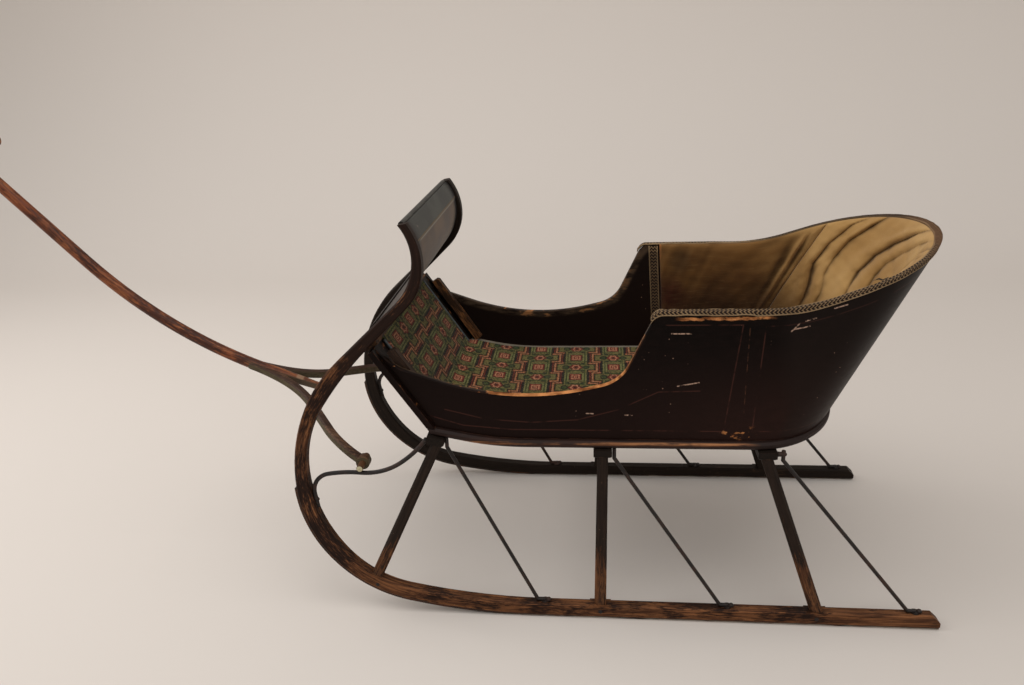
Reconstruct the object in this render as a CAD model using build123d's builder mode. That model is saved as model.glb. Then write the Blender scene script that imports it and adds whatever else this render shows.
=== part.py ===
"""A child's pull sleigh of about 1890: bent runners, a round-backed body and a forked pulling pole.

The sleigh faces -X, +Y is its right side and +Z is up. The floor is Z = 0, and the origin is on
the floor below the middle of the whole length, pole included. Distances along the sleigh are
measured from the middle of its runners, "mid", which lies mid_x behind the origin.
"""

import os
from math import atan, cos, degrees, radians, sin, tan

from build123d import *

os.makedirs("parts", exist_ok=True)

# Runners: two bent ash rails that lean in towards each other, with the dashboard's stiles on top
track = 441.7  # across the runners' middles, on the floor
lean = 3.86  # degrees that each runner's plane leans inwards
runner_width = 19.0
runner_chamfer = 2.5
runner_back = 500.0  # from mid back to the runners' tips
runner_bottom = 3.0  # underside of the wood
tip_bevel = 12.0
shoe_width = 13.0
shoe_thickness = 3.5  # before the underside is worn flat
# The edges of a runner in its own plane. Each row: how it gets there, x from mid, height.
outer_edge = [
    ("run", -130.0, runner_bottom),
    ("bend", -339.0, 24.5),
    ("bend", -464.0, 100.5),
    ("bend", -511.0, 226.0),
    ("bend", -481.0, 365.0),
    ("bend", -426.0, 438.4),
    ("run", -325.0, 531.0),
    ("bend", -295.5, 592.0),
    ("bend", -312.0, 647.0),
]
shoe_rows = 4  # rows of the outer edge that the steel shoe follows
runner_top = 24.5  # upper side of the wood on the flat
inner_edge = [
    ("run", -115.0, runner_top),
    ("bend", -338.0, 47.5),
    ("bend", -438.0, 108.0),
    ("bend", -490.4, 250.0),
    ("bend", -456.7, 362.5),
    ("bend", -368.7, 465.5),
    ("run", -308.0, 524.0),
    ("bend", -281.0, 580.0),
    ("bend", -299.5, 649.0),
]

# Posts and cross bars. Each row: name, foot from mid, height of the foot, the runner's rise in
# degrees there, head from mid.
posts = [
    ("front", -392.5, 67.0, 30.0, -277.0),
    ("middle", -25.0, runner_top, 0.0, -21.5),
    ("rear", 314.0, runner_top, 0.0, 222.0),
]
post_foot = 19.0  # along the sleigh, at the foot
post_head = 16.5
post_depth = 16.5  # across the sleigh
post_chamfer = 4.0
post_tenon = 6.0  # how far a post's blank runs into runner and bar before it is fitted
foot_block = 34.0  # length of the square stop left in a runner's chamfer under a post
foot_block_depth = 18.0
bar_width = 28.0
bar_height = 13.0
bar_end = 6.0  # the bars stand out past the floor's edge by this

# Stay rods: slanting iron rods from the runners up to the bars
stay_radius = 3.0
stay_foot_length = 12.0
stay_pad = 6.5  # radius of the flattened eye at the foot
stay_pad_height = 3.0
stay_head_length = 16.0
stays = [("front", -115.0, -262.0), ("middle", 177.0, -4.0), ("rear", 464.0, 246.0)]

# Scroll braces: curled iron rods behind the front bend, on which the pole's dowel rests
scroll_radius = 3.5
scroll_start = (-481.2, 190.0)
dowel_x = -404.0
scroll_seat = 252.5  # height in the runner's plane where the dowel rests
scroll_edge = [
    ("run", -484.2, 214.0),
    ("bend", -458.0, 249.5),
    ("bend", dowel_x, scroll_seat),
    ("bend", -340.0, 269.5),
    ("bend", -294.0, 313.0),
]

# Body
body_inset = 5.6  # from the runners' middles in to the sides, at the floor's underside
side_thickness = 9.0
side_chamfer = 1.5  # along the sides' top edge
floor_bottom = 300.0
floor_thickness = 12.0
floor_lip = 9.0  # the floor's edge stands out past the body by this
floor_chamfer = 3.5
floor_bend_x = -190.0  # in front of this the floor rises
floor_rise = 12.0  # degrees
floor_bend_radius = 450.0
toe_corner_x = -283.0
toe_slope = 57.0  # degrees
toe_length = 162.0
toe_thickness = 10.0
joint_x = 185.0  # where the sides end and the bent back begins
rim_height = 517.0
# The sides' top edge from above the toe to the arm: corners and the radii that round them
swoop = [(-331.0, 430.0), (-160.0, 368.0), (4.0, 408.0), (55.5, rim_height)]
swoop_radii = [60.0, 400.0, 60.0, 32.0]
# The rim's rise over the bent back
rim_bend_x = 262.0
rim_rise = 18.5  # degrees
rim_bend_radius = 300.0

# Bent back: a tub whose half-oval plan changes from its foot to its head. The half oval's middle
# from mid, its reach behind that and how much narrower than the sides it is at its middle.
tub_height = 300.0  # from the floor's underside to where the head's sizes are taken
tub_foot = {"middle": 205.0, "reach": 142.0, "narrower": 0.0}
tub_head = {"middle": 365.0, "reach": 127.0, "narrower": 17.0}
tub_thickness = 7.0

# Seat and upholstery
seat_x = 80.0  # front of the seat
arm_pad_x = 86.0
cushion_x = 82.0
seat_board_bottom = 350.0
seat_board_thickness = 9.0
seat_riser_thickness = 9.0
riser_inset = 4.0  # the riser stands back from the seat's front edge
cushion_height = 26.0
pad_thickness = 13.0
arm_pad_thickness = 8.0
pad_joint_x = 250.0  # where the arm pads meet the back pad
soft_gap = 0.3  # left round everything soft
pad_drop = 3.0  # the pads end this far below the rim
carpet_thickness = 3.0
carpet_floor_gap = 16.0  # between the carpet's edge and the side
carpet_toe_gap = 36.0
fit_gap = 0.5

# Toe: rail along the toe board's top edge and cleats down the sides
toe_rail_height = 13.0
toe_rail_depth = 20.0
cleat_width = 12.0
cleat_height = 14.0
cleat_standoff = 8.0  # from the toe board
cleat_short = 18.0  # a cleat ends this far below the rail

# Dashboard panel between the stiles
dash_start = (-361.0, 495.5)
dash_edge = [("run", -323.0, 530.4), ("bend", -293.3, 592.0), ("bend", -308.6, 641.0)]
dash_thickness = 5.0
dash_rail_depth = 12.0
dash_rail_height = 9.0
dash_cap_radius = 4.5

# Pulling pole, measured along the fork's plane from the dowel's axis
fork_slope = 20.0  # degrees, at rest
dowel_radius = 5.5
dowel_overhang = 5.0  # past the middles of the scroll braces
running_gap = 0.3
arm_start_x = 7.0
arm_heading = -25.0  # degrees
arm_edge = [("bend", 75.0, 131.0), ("run", 128.0, 68.0), ("bend", 200.0, 17.5), ("bend", 264.0, 3.5)]
arm_width = 15.0
arm_thickness = 13.0
arm_chamfer = 2.5
eye_radius = 11.0
eye_length = 14.0
eye_inset = 19.9  # the eyes' middles in from the scroll braces
eye_step = 3.0  # each arm starts this far in from its eye's middle
nose_tip = 135.0
nose_width = 9.0
nose_thickness = 12.0
pole_start = 215.0
pole_radius = 10.0
pole_bend_radius = 800.0
pole_slope = 48.0  # degrees at the grip
pole_run = 270.0  # straight run behind the grip
grip_radius = 12.0
grip_length = 190.0
grip_swell = 16.0
grip_swell_length = 44.0
grip_chamfer = 4.0

overcut = 40.0  # how far a cutting shape runs past what it cuts


# Places that follow from the sizes
pole_turn = pole_slope - fork_slope
pole_end_x = (
    dowel_x
    - pole_start * cos(radians(fork_slope))
    - pole_bend_radius * (sin(radians(pole_slope)) - sin(radians(fork_slope)))
    - pole_run * cos(radians(pole_slope))
)
rim_back = tub_head["middle"] + tub_head["reach"]
mid_x = -(pole_end_x - grip_swell + runner_back) / 2
side_half = track / 2 - floor_bottom * tan(radians(lean)) - body_inset
floor_top = floor_bottom + floor_thickness
rim_far = rim_back + overcut
rim_far_height = rim_height + (rim_far - rim_bend_x) * tan(radians(rim_rise))
loft_top = rim_far_height + 1
air_top = loft_top + overcut
dowel_z = scroll_seat * cos(radians(lean)) + scroll_radius + dowel_radius + running_gap
scroll_half = track / 2 - scroll_seat * sin(radians(lean))
eye_half = scroll_half - eye_inset

centre = Plane(origin=(mid_x, 0, 0), x_dir=(1, 0, 0), z_dir=(0, -1, 0))
leaning = Plane(
    origin=(mid_x, -track / 2, 0),
    x_dir=(1, 0, 0),
    z_dir=(0, -cos(radians(lean)), sin(radians(lean))),
)
fork = Plane(
    origin=(mid_x + dowel_x, 0, dowel_z),
    x_dir=(-cos(radians(fork_slope)), 0, sin(radians(fork_slope))),
    z_dir=(sin(radians(fork_slope)), 0, cos(radians(fork_slope))),
)


def level(height):
    """A level plane at this height, its origin above mid."""
    return Plane(origin=(mid_x, 0, height))


def floor_line(x):
    """Height of the floor board's underside at x from mid, its bend left sharp."""
    return floor_bottom + max(0.0, floor_bend_x - x) * tan(radians(floor_rise))


def stile_half(height):
    """Half the clear width between the runners at this height."""
    return track / 2 - height * tan(radians(lean)) - runner_width / 2 / cos(radians(lean))


def trace(start, table, heading=None):
    """Draw runs and bends one after another, each bend starting along the piece before it."""
    place = start
    for kind, x, y in table:
        if kind == "run":
            step = Line(place, (x, y))
        else:
            step = TangentArc(place, (x, y), tangent=heading)
        heading = step % 1
        place = (x, y)
    return place


def save(solid, name):
    """Name a finished piece and write it to its file."""
    solid.label = name
    export_step(solid, f"parts/{name}.step")


def save_pair(left, name):
    """Write a piece of the left side and its mirror image on the right."""
    save(left, f"{name}_left")
    save(mirror(left, about=Plane.XZ), f"{name}_right")


# Floor board: one bent board whose edge shows all round below the body
def tub_plan(height, grow, front):
    """Half-oval plan of the tub, grown outwards, with sides that run to the oval as tangents."""
    share = (height - floor_bottom) / tub_height
    size = {key: tub_foot[key] + share * (tub_head[key] - tub_foot[key]) for key in tub_foot}
    reach = size["reach"] + grow
    half = side_half - size["narrower"] + grow
    narrowing = size["narrower"] / (size["middle"] - joint_x)
    span = 90 - degrees(atan(narrowing * reach / half))
    joint_half = side_half + grow
    with BuildSketch(level(height)) as plan:
        with BuildLine():
            oval = EllipticalCenterArc((size["middle"], 0), reach, half, -span, arc_size=2 * span)
            Line(oval @ 1, (joint_x, joint_half))
            if front < joint_x:
                Line((joint_x, joint_half), (front, joint_half))
                Line((front, -joint_half), (joint_x, -joint_half))
            Line((front, joint_half), (front, -joint_half))
            Line((joint_x, -joint_half), oval @ 0)
        make_face()
    return plan.sketch


def toe_point(along, inwards):
    """A point of the side view: so far up the toe board's slope, and so far in from its outside."""
    x = toe_corner_x - along * cos(radians(toe_slope)) + inwards * sin(radians(toe_slope))
    y = floor_line(toe_corner_x) + along * sin(radians(toe_slope)) + inwards * cos(radians(toe_slope))
    return x, y


def floor_band(lift, thickness, front, back):
    """Side view of something as bent as the floor board, lying so far above its underside."""
    with BuildSketch(centre) as band:
        with BuildLine():
            FilletPolyline(
                (back, floor_bottom + lift),
                (floor_bend_x, floor_bottom + lift),
                (front, floor_line(front) + lift / cos(radians(floor_rise))),
                radius=floor_bend_radius - lift,
            )
            offset(amount=thickness, side=Side.RIGHT, closed=True)
        make_face()
    return band.sketch


with BuildPart() as floor_board:
    board_side = floor_band(0.0, floor_thickness, toe_corner_x - toe_thickness, rim_back)
    extrude(board_side, amount=side_half + floor_lip, both=True)
    board_plan = tub_plan(floor_bottom, floor_lip, toe_corner_x - overcut)
    extrude(board_plan, amount=2 * overcut, both=True, mode=Mode.INTERSECT)
    board_edges = floor_board.edges().filter_by(lambda edge: edge.length > 2 * floor_thickness)
    chamfer(board_edges - floor_board.edges().filter_by(Axis.Y), floor_chamfer)
    with BuildSketch(centre):
        with BuildLine():
            Polyline(
                toe_point(-overcut, 0),
                toe_point(overcut, 0),
                toe_point(overcut, -overcut),
                toe_point(-overcut, -overcut),
                close=True,
            )
        make_face()
    extrude(amount=side_half + overcut, both=True, mode=Mode.SUBTRACT)

with BuildPart() as toe_board:
    with BuildSketch(centre):
        with BuildLine():
            Polyline(
                toe_point(0, 0),
                toe_point(toe_length, 0),
                toe_point(toe_length, toe_thickness),
                toe_point(0, toe_thickness),
                close=True,
            )
        make_face()
    extrude(amount=side_half + floor_lip, both=True)
    extrude(board_side, amount=side_half + overcut, both=True, mode=Mode.SUBTRACT)

# Sides: sawn boards that stand on the floor board and behind the toe board
with BuildPart() as side_panel:
    with BuildSketch(centre.offset(side_half - side_thickness)):
        with BuildLine():
            toe_top = toe_point(toe_length, toe_thickness)
            FilletPolyline(toe_top, *swoop, (joint_x, rim_height), radius=swoop_radii)
            Polyline(
                toe_top,
                toe_point(0, toe_thickness),
                (floor_bend_x, floor_bottom + floor_thickness / 2),
                (joint_x, floor_bottom + floor_thickness / 2),
                (joint_x, rim_height),
            )
        make_face()
    extrude(amount=side_thickness)
    along_top = side_panel.edges().filter_by(Axis.Y, reverse=True).filter_by_position(
        Axis.Z, floor_line(swoop[0][0]) + overcut, rim_height
    )
    chamfer(along_top.filter_by(Axis.Z, reverse=True), side_chamfer)
    add(floor_board.part, mode=Mode.SUBTRACT)


# Bent back
def tub_block(inset):
    """The tub's whole inside, or outside, as one solid this far in from its outer face."""
    with BuildPart() as block:
        add(tub_plan(floor_bottom, -inset, joint_x))
        add(tub_plan(loft_top, -inset, joint_x))
        loft(ruled=True)
    return block.part


def above_rim(drop):
    """Everything above the rim, or above a line this far below it."""
    near = seat_x - overcut
    with BuildPart() as air:
        with BuildSketch(centre):
            with BuildLine():
                rise = FilletPolyline(
                    (near, rim_height - drop),
                    (rim_bend_x, rim_height - drop),
                    (rim_far, rim_far_height - drop),
                    radius=rim_bend_radius,
                )
                Polyline(rise @ 1, (rim_far, air_top), (near, air_top), rise @ 0)
            make_face()
        extrude(amount=side_half + overcut, both=True)
    return air.part


with BuildPart() as back_shell:
    add(tub_block(0))
    add(tub_block(tub_thickness), mode=Mode.SUBTRACT)
    add(above_rim(0), mode=Mode.SUBTRACT)
    split(bisect_by=Plane.XY.offset(floor_top), keep=Keep.TOP)

# Seat: a board on a riser, with a cushion
seat_top = seat_board_bottom + seat_board_thickness


def seat_slab(inset, front, bottom, height):
    """A level slice of the tub's inside, carried forward between the sides to the seat's front."""
    with BuildPart() as slab:
        add(tub_block(inset))
        with BuildSketch(level(floor_bottom)):
            with Locations(((front + joint_x) / 2, 0)):
                Rectangle(joint_x - front, 2 * (side_half - inset))
        extrude(amount=loft_top - floor_bottom)
        with BuildSketch(level(bottom)):
            with Locations((front, 0)):
                Rectangle(rim_back, 2 * side_half, align=(Align.MIN, Align.CENTER))
        extrude(amount=height, mode=Mode.INTERSECT)
    return slab.part


with BuildPart() as seat_board:
    add(seat_slab(side_thickness + fit_gap, seat_x, seat_board_bottom, seat_board_thickness))

with BuildPart() as seat_riser:
    with BuildSketch(level(floor_top)):
        with Locations((seat_x + riser_inset + seat_riser_thickness / 2, 0)):
            Rectangle(seat_riser_thickness, 2 * (side_half - side_thickness - fit_gap))
    extrude(amount=seat_board_bottom - floor_top)

with BuildPart() as seat_cushion:
    add(
        seat_slab(
            side_thickness + pad_thickness + 2 * fit_gap,
            cushion_x,
            seat_top + soft_gap,
            cushion_height,
        )
    )

with BuildPart() as back_pad:
    add(tub_block(tub_thickness + soft_gap))
    add(tub_block(tub_thickness + pad_thickness), mode=Mode.SUBTRACT)
    add(above_rim(pad_drop), mode=Mode.SUBTRACT)
    split(bisect_by=Plane.XY.offset(seat_top + soft_gap), keep=Keep.TOP)
    split(bisect_by=Plane.YZ.offset(mid_x + pad_joint_x + soft_gap), keep=Keep.TOP)

with BuildPart() as arm_pad:
    pad_foot = seat_top + soft_gap
    add(seat_slab(side_thickness + soft_gap, arm_pad_x, pad_foot, rim_height - pad_foot))
    add(seat_slab(side_thickness + arm_pad_thickness, seat_x, floor_top, loft_top), mode=Mode.SUBTRACT)
    add(above_rim(pad_drop), mode=Mode.SUBTRACT)
    split(bisect_by=Plane.YZ.offset(mid_x + pad_joint_x), keep=Keep.BOTTOM)
    split(bisect_by=Plane.XZ, keep=Keep.TOP)

# Carpet: laid on the floor and up the toe board in one piece
with BuildPart() as carpet:
    carpet_side = floor_band(floor_thickness, carpet_thickness, toe_corner_x, seat_x)
    carpet_half = side_half - side_thickness
    extrude(carpet_side, amount=carpet_half - carpet_floor_gap, both=True)
    with BuildSketch(centre):
        with BuildLine():
            Polyline(
                toe_point(0, toe_thickness),
                toe_point(toe_length - fit_gap, toe_thickness),
                toe_point(toe_length - fit_gap, toe_thickness + carpet_thickness),
                toe_point(0, toe_thickness + carpet_thickness),
                close=True,
            )
        make_face()
    extrude(amount=carpet_half - carpet_toe_gap, both=True)
    add(floor_board.part, mode=Mode.SUBTRACT)
    add(toe_board.part, mode=Mode.SUBTRACT)

with BuildPart() as toe_cleat:
    cleat_foot = toe_thickness + cleat_standoff
    cleat_length = toe_length - cleat_short
    with BuildSketch(centre.offset(side_half - side_thickness - cleat_width)):
        with BuildLine():
            Polyline(
                toe_point(0, cleat_foot),
                toe_point(cleat_length, cleat_foot),
                toe_point(cleat_length, cleat_foot + cleat_height),
                toe_point(0, cleat_foot + cleat_height),
                close=True,
            )
        make_face()
    extrude(amount=cleat_width)
    chamfer(toe_cleat.edges().filter_by(Axis.Y).group_by(Axis.Z)[-1], cleat_height / 4)
    under = floor_band(-floor_thickness, 2 * floor_thickness, toe_corner_x - overcut, seat_x)
    extrude(under, amount=side_half, both=True, mode=Mode.SUBTRACT)

# Runner and shoe, in the runner's leaning plane
with BuildPart() as shoe:
    with BuildSketch(leaning):
        with BuildLine():
            trace((runner_back, runner_bottom), outer_edge[:shoe_rows])
            offset(amount=shoe_thickness, side=Side.LEFT, closed=True)
        make_face()
    extrude(amount=shoe_width / 2, both=True)
    split(bisect_by=Plane.XY, keep=Keep.TOP)

with BuildPart() as runner:
    with BuildSketch(leaning):
        with BuildLine():
            outer_end = trace((runner_back, runner_bottom), outer_edge)
            inner_end = trace((runner_back - tip_bevel, runner_top), inner_edge)
            Line(outer_end, inner_end)
            Polyline(
                (runner_back, runner_bottom),
                (runner_back, runner_top - tip_bevel),
                (runner_back - tip_bevel, runner_top),
            )
        make_face()
    extrude(amount=runner_width / 2, both=True)
    cheeks = runner.faces().filter_by(leaning)
    chamfer(cheeks.edges().filter_by(lambda edge: edge.length > tip_bevel * 2), runner_chamfer)
    with BuildSketch(leaning):
        for name, foot_x, foot_y, rise, head_x in posts:
            with Locations(Location((foot_x, foot_y), -rise)):
                Rectangle(foot_block, foot_block_depth, align=(Align.CENTER, Align.MAX))
    extrude(amount=runner_width / 2, both=True)

# Cross bars, posts and stays
bars = {}
for name, foot_x, foot_y, rise, head_x in posts:
    slope = floor_rise if head_x < floor_bend_x else 0.0
    with BuildPart() as cross_bar:
        with BuildSketch(centre):
            with Locations((head_x, floor_line(head_x))):
                Rectangle(bar_width, bar_height, rotation=-slope, align=(Align.CENTER, Align.MAX))
        extrude(amount=side_half + floor_lip + bar_end, both=True)
        chamfer(cross_bar.edges().group_by(Axis.Z)[0], bar_height / 5)
        add(floor_board.part, mode=Mode.SUBTRACT)
    bars[name] = cross_bar.part

post_parts = {}
for name, foot_x, foot_y, rise, head_x in posts:
    head_y = (floor_line(head_x) - bar_height) / cos(radians(lean))
    foot = Vector(foot_x, foot_y)
    head = Vector(head_x, head_y)
    along = (head - foot).normalized()
    across = Vector(along.Y, -along.X)
    low = foot - along * post_tenon
    high = head + along * post_tenon
    with BuildPart() as post:
        with BuildSketch(leaning):
            with BuildLine():
                Polyline(
                    low - across * post_foot / 2,
                    low + across * post_foot / 2,
                    high + across * post_head / 2,
                    high - across * post_head / 2,
                    close=True,
                )
            make_face()
        extrude(amount=post_depth / 2, both=True)
        chamfer(post.edges().filter_by(lambda edge: edge.length > 2 * post_foot), post_chamfer)
        add(runner.part, mode=Mode.SUBTRACT)
        add(bars[name], mode=Mode.SUBTRACT)
    post_parts[name] = post.part

stay_parts = {}
stay_lift = runner_top + stay_radius + running_gap
for name, foot_x, head_x in stays:
    top = (floor_line(head_x) - running_gap) / cos(radians(lean))
    with BuildPart() as stay:
        with BuildLine(leaning) as stay_line:
            Polyline(
                (foot_x, stay_lift),
                (foot_x - stay_foot_length, stay_lift),
                (head_x, top - stay_head_length),
                (head_x, top),
            )
        with BuildSketch(Plane(stay_line.line @ 0, z_dir=stay_line.line % 0)):
            Circle(stay_radius)
        sweep(path=stay_line.line, transition=Transition.RIGHT)
        with BuildSketch(Plane(leaning.from_local_coords((foot_x, runner_top)), z_dir=leaning.y_dir)):
            Circle(stay_pad)
        extrude(amount=stay_pad_height)
        add(runner.part, mode=Mode.SUBTRACT)
        for bar in bars.values():
            add(bar, mode=Mode.SUBTRACT)
        for part in post_parts.values():
            add(part, mode=Mode.SUBTRACT)
        add(floor_board.part, mode=Mode.SUBTRACT)
    stay_parts[name] = stay.part

with BuildPart() as scroll_brace:
    with BuildLine(leaning) as scroll_line:
        trace(scroll_start, scroll_edge)
    with BuildSketch(Plane(scroll_line.line @ 0, z_dir=scroll_line.line % 0)):
        Circle(scroll_radius)
    sweep(path=scroll_line.line)
    add(runner.part, mode=Mode.SUBTRACT)
    add(post_parts["front"], mode=Mode.SUBTRACT)
    add(bars["front"], mode=Mode.SUBTRACT)


# Dashboard between the stiles, and the toe rail
def between_stiles():
    """The space between the leaning stiles, as a wedge over the whole front."""
    low = floor_bottom
    high = dash_edge[-1][2] + overcut
    with BuildPart() as wedge:
        with BuildSketch(Plane(origin=(mid_x, 0, 0), x_dir=(0, 1, 0), z_dir=(1, 0, 0))):
            with BuildLine():
                Polyline(
                    (-stile_half(low), low),
                    (stile_half(low), low),
                    (stile_half(high), high),
                    (-stile_half(high), high),
                    close=True,
                )
            make_face()
        extrude(amount=-(runner_back + overcut))
    return wedge.part


stile_space = between_stiles()
with BuildPart() as dash_panel:
    with BuildSketch(centre):
        with BuildLine():
            trace(dash_start, dash_edge)
            offset(amount=dash_thickness, side=Side.RIGHT, closed=True)
        make_face()
    extrude(amount=track / 2, both=True)
    add(stile_space, mode=Mode.INTERSECT)

with BuildPart() as dash_cap:
    with BuildSketch(centre):
        with Locations((dash_edge[-1][1] - 1.5, dash_edge[-1][2] + dash_cap_radius / 2)):
            Circle(dash_cap_radius)
    extrude(amount=track / 2, both=True)
    add(stile_space, mode=Mode.INTERSECT)
    add(dash_panel.part, mode=Mode.SUBTRACT)

with BuildPart() as dash_rail:
    with BuildSketch(centre):
        with Locations((dash_start[0] - 1, dash_start[1] - 4)):
            Rectangle(dash_rail_depth, dash_rail_height, rotation=43)
    extrude(amount=track / 2, both=True)
    add(stile_space, mode=Mode.INTERSECT)
    add(dash_panel.part, mode=Mode.SUBTRACT)

with BuildPart() as toe_rail:
    with BuildSketch(centre):
        with BuildLine():
            Polyline(
                toe_point(toe_length, -toe_rail_depth / 3),
                toe_point(toe_length + toe_rail_height, -toe_rail_depth / 3),
                toe_point(toe_length + toe_rail_height, 2 * toe_rail_depth / 3),
                toe_point(toe_length, 2 * toe_rail_depth / 3),
                close=True,
            )
        make_face()
    extrude(amount=track / 2, both=True)
    add(stile_space, mode=Mode.INTERSECT)
    add(mirror(side_panel.part, about=Plane.XZ), mode=Mode.SUBTRACT)
    add(side_panel.part, mode=Mode.SUBTRACT)

# Pulling pole: dowel, two bent arms, pole and cross grip
with BuildPart() as tongue_dowel:
    Cylinder(dowel_radius, 2 * (scroll_half + dowel_overhang), rotation=(90, 0, 0))
tongue_dowel_part = tongue_dowel.part.moved(Location((mid_x + dowel_x, 0, dowel_z)))

with BuildPart() as tongue_pole:
    with BuildLine(centre) as pole_line:
        bend_x = dowel_x - pole_start * cos(radians(fork_slope))
        bend_z = dowel_z + pole_start * sin(radians(fork_slope))
        pole_bend = JernArc((bend_x, bend_z), fork.x_dir, pole_bend_radius, -pole_turn)
        Line(pole_bend @ 1, pole_bend @ 1 + (pole_bend % 1) * pole_run)
    with BuildSketch(Plane(pole_line.line @ 0, z_dir=pole_line.line % 0)):
        Circle(pole_radius)
    sweep(path=pole_line.line)
    nose_plane = Plane(
        origin=fork.from_local_coords((nose_tip, 0, 0)), x_dir=(0, 1, 0), z_dir=fork.x_dir
    )
    with BuildSketch(nose_plane):
        RectangleRounded(nose_width, nose_thickness, nose_width / 5)
    with BuildSketch(nose_plane.offset(pole_start - nose_tip)):
        RectangleRounded(2 * pole_radius, 2 * pole_radius, pole_radius * 0.96)
    loft()
pole_tip = pole_line.line @ 1

with BuildPart() as tongue_grip:
    with BuildSketch(Plane.XZ):
        with BuildLine():
            Polyline(
                (0, -grip_length / 2),
                (grip_radius, -grip_length / 2),
                (grip_radius, -grip_swell_length / 2),
            )
            ThreePointArc(
                (grip_radius, -grip_swell_length / 2),
                (grip_swell, 0),
                (grip_radius, grip_swell_length / 2),
            )
            Polyline(
                (grip_radius, grip_swell_length / 2),
                (grip_radius, grip_length / 2),
                (0, grip_length / 2),
                (0, -grip_length / 2),
            )
        make_face()
    revolve(axis=Axis.Z)
    grip_rims = tongue_grip.edges().filter_by(GeomType.CIRCLE)
    chamfer(grip_rims.group_by(Axis.Z)[0] + grip_rims.group_by(Axis.Z)[-1], grip_chamfer)
tongue_grip_part = tongue_grip.part.rotate(Axis.X, 90).moved(Location(pole_tip))

with BuildPart() as tongue_pole_fitted:
    add(tongue_pole.part)
    add(tongue_grip_part, mode=Mode.SUBTRACT)

with BuildPart() as tongue_arm:
    with BuildSketch(fork):
        with BuildLine():
            arm_tangent = (cos(radians(arm_heading)), sin(radians(arm_heading)))
            trace((arm_start_x, eye_half - eye_step), arm_edge, Vector(*arm_tangent))
            offset(amount=arm_width / 2, side=Side.BOTH, closed=True)
        make_face()
    extrude(amount=arm_thickness / 2, both=True)
    chamfer(tongue_arm.edges().filter_by(lambda edge: edge.length > 2 * arm_width), arm_chamfer)
    with BuildSketch(centre.offset(eye_half - eye_length / 2)):
        with Locations((dowel_x, dowel_z)):
            Circle(eye_radius)
    extrude(amount=eye_length)
    with BuildSketch(centre):
        with Locations((dowel_x, dowel_z)):
            Circle(dowel_radius)
    extrude(amount=track, mode=Mode.SUBTRACT)
    add(tongue_pole.part, mode=Mode.SUBTRACT)
    split(bisect_by=Plane.XZ, keep=Keep.TOP)

save(floor_board.part, "floor_board")
save(toe_board.part, "toe_board")
save(back_shell.part, "back_shell")
save(seat_board.part, "seat_board")
save(seat_riser.part, "seat_riser")
save(seat_cushion.part, "seat_cushion")
save(back_pad.part, "back_pad")
save(carpet.part, "carpet")
save(dash_panel.part, "dash_panel")
save(dash_cap.part, "dash_cap")
save(dash_rail.part, "dash_rail")
save(toe_rail.part, "toe_rail")
save(tongue_dowel_part, "tongue_dowel")
save(tongue_pole_fitted.part, "tongue_pole")
save(tongue_grip_part, "tongue_grip")
save_pair(side_panel.part, "side_panel")
save_pair(arm_pad.part, "arm_pad")
save_pair(toe_cleat.part, "toe_cleat")
save_pair(shoe.part, "runner_shoe")
save_pair(runner.part, "runner")
save_pair(scroll_brace.part, "scroll_brace")
save_pair(tongue_arm.part, "tongue_arm")
for name, solid in bars.items():
    save(solid, f"cross_bar_{name}")
for name, solid in post_parts.items():
    save_pair(solid, f"post_{name}")
for name, solid in stay_parts.items():
    save_pair(solid, f"stay_{name}")
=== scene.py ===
"""The looks of a child's pull sleigh of about 1890: worn paint, upholstery, braid, carpet and iron.

Everything is in metres and stands in the frame's own axes: the sleigh faces -X, its left side is
-Y and +Z is up. Places along the sleigh are measured from the middle of its runners, as in the
part's source, and stand() turns them into the frame. New pieces are surfaces worked out with numpy.
"""

from math import cos, pi, radians, sin, tan

import bmesh
import bpy
import numpy as np
from mathutils import Matrix, Vector


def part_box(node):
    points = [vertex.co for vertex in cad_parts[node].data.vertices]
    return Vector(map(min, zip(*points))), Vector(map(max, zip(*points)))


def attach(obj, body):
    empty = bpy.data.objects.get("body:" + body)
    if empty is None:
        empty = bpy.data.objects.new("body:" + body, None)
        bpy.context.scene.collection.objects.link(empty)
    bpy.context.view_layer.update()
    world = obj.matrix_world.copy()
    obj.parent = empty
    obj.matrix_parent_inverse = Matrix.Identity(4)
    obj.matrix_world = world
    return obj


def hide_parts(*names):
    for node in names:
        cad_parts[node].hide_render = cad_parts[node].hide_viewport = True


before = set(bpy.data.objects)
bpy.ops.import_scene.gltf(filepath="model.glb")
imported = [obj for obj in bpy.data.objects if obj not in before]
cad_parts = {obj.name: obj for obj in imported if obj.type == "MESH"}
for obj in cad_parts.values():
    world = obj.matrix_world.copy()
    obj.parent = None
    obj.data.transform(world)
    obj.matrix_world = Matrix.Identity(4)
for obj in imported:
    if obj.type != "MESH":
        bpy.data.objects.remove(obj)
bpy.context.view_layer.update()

# Sizes that the pieces share with the frame
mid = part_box("runner_left")[1][0] - 0.500  # from the origin back to the middle of the runners
side_half = -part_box("side_panel_left")[0][1]
side_wall = 0.009
tub_wall = 0.007
joint_x = 0.185  # the sides end and the bent back begins
floor_bottom = 0.300
floor_top = 0.312
seat_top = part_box("seat_board")[1][2]
rim_height = 0.517
rim_bend_x = 0.262
rim_rise = radians(18.5)
rim_bend_radius = 0.300
tub_height = 0.300
tub_middle = (0.205, 0.365)  # middle of the half oval, at the tub's foot and at its head
tub_reach = (0.142, 0.127)
tub_narrower = (0.0, 0.017)
oval_share = 0.7  # of the way from the back's middle to the joint
track_half = 0.22085
lean = radians(3.86)
runner_start = (0.500, 0.0135)
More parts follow.
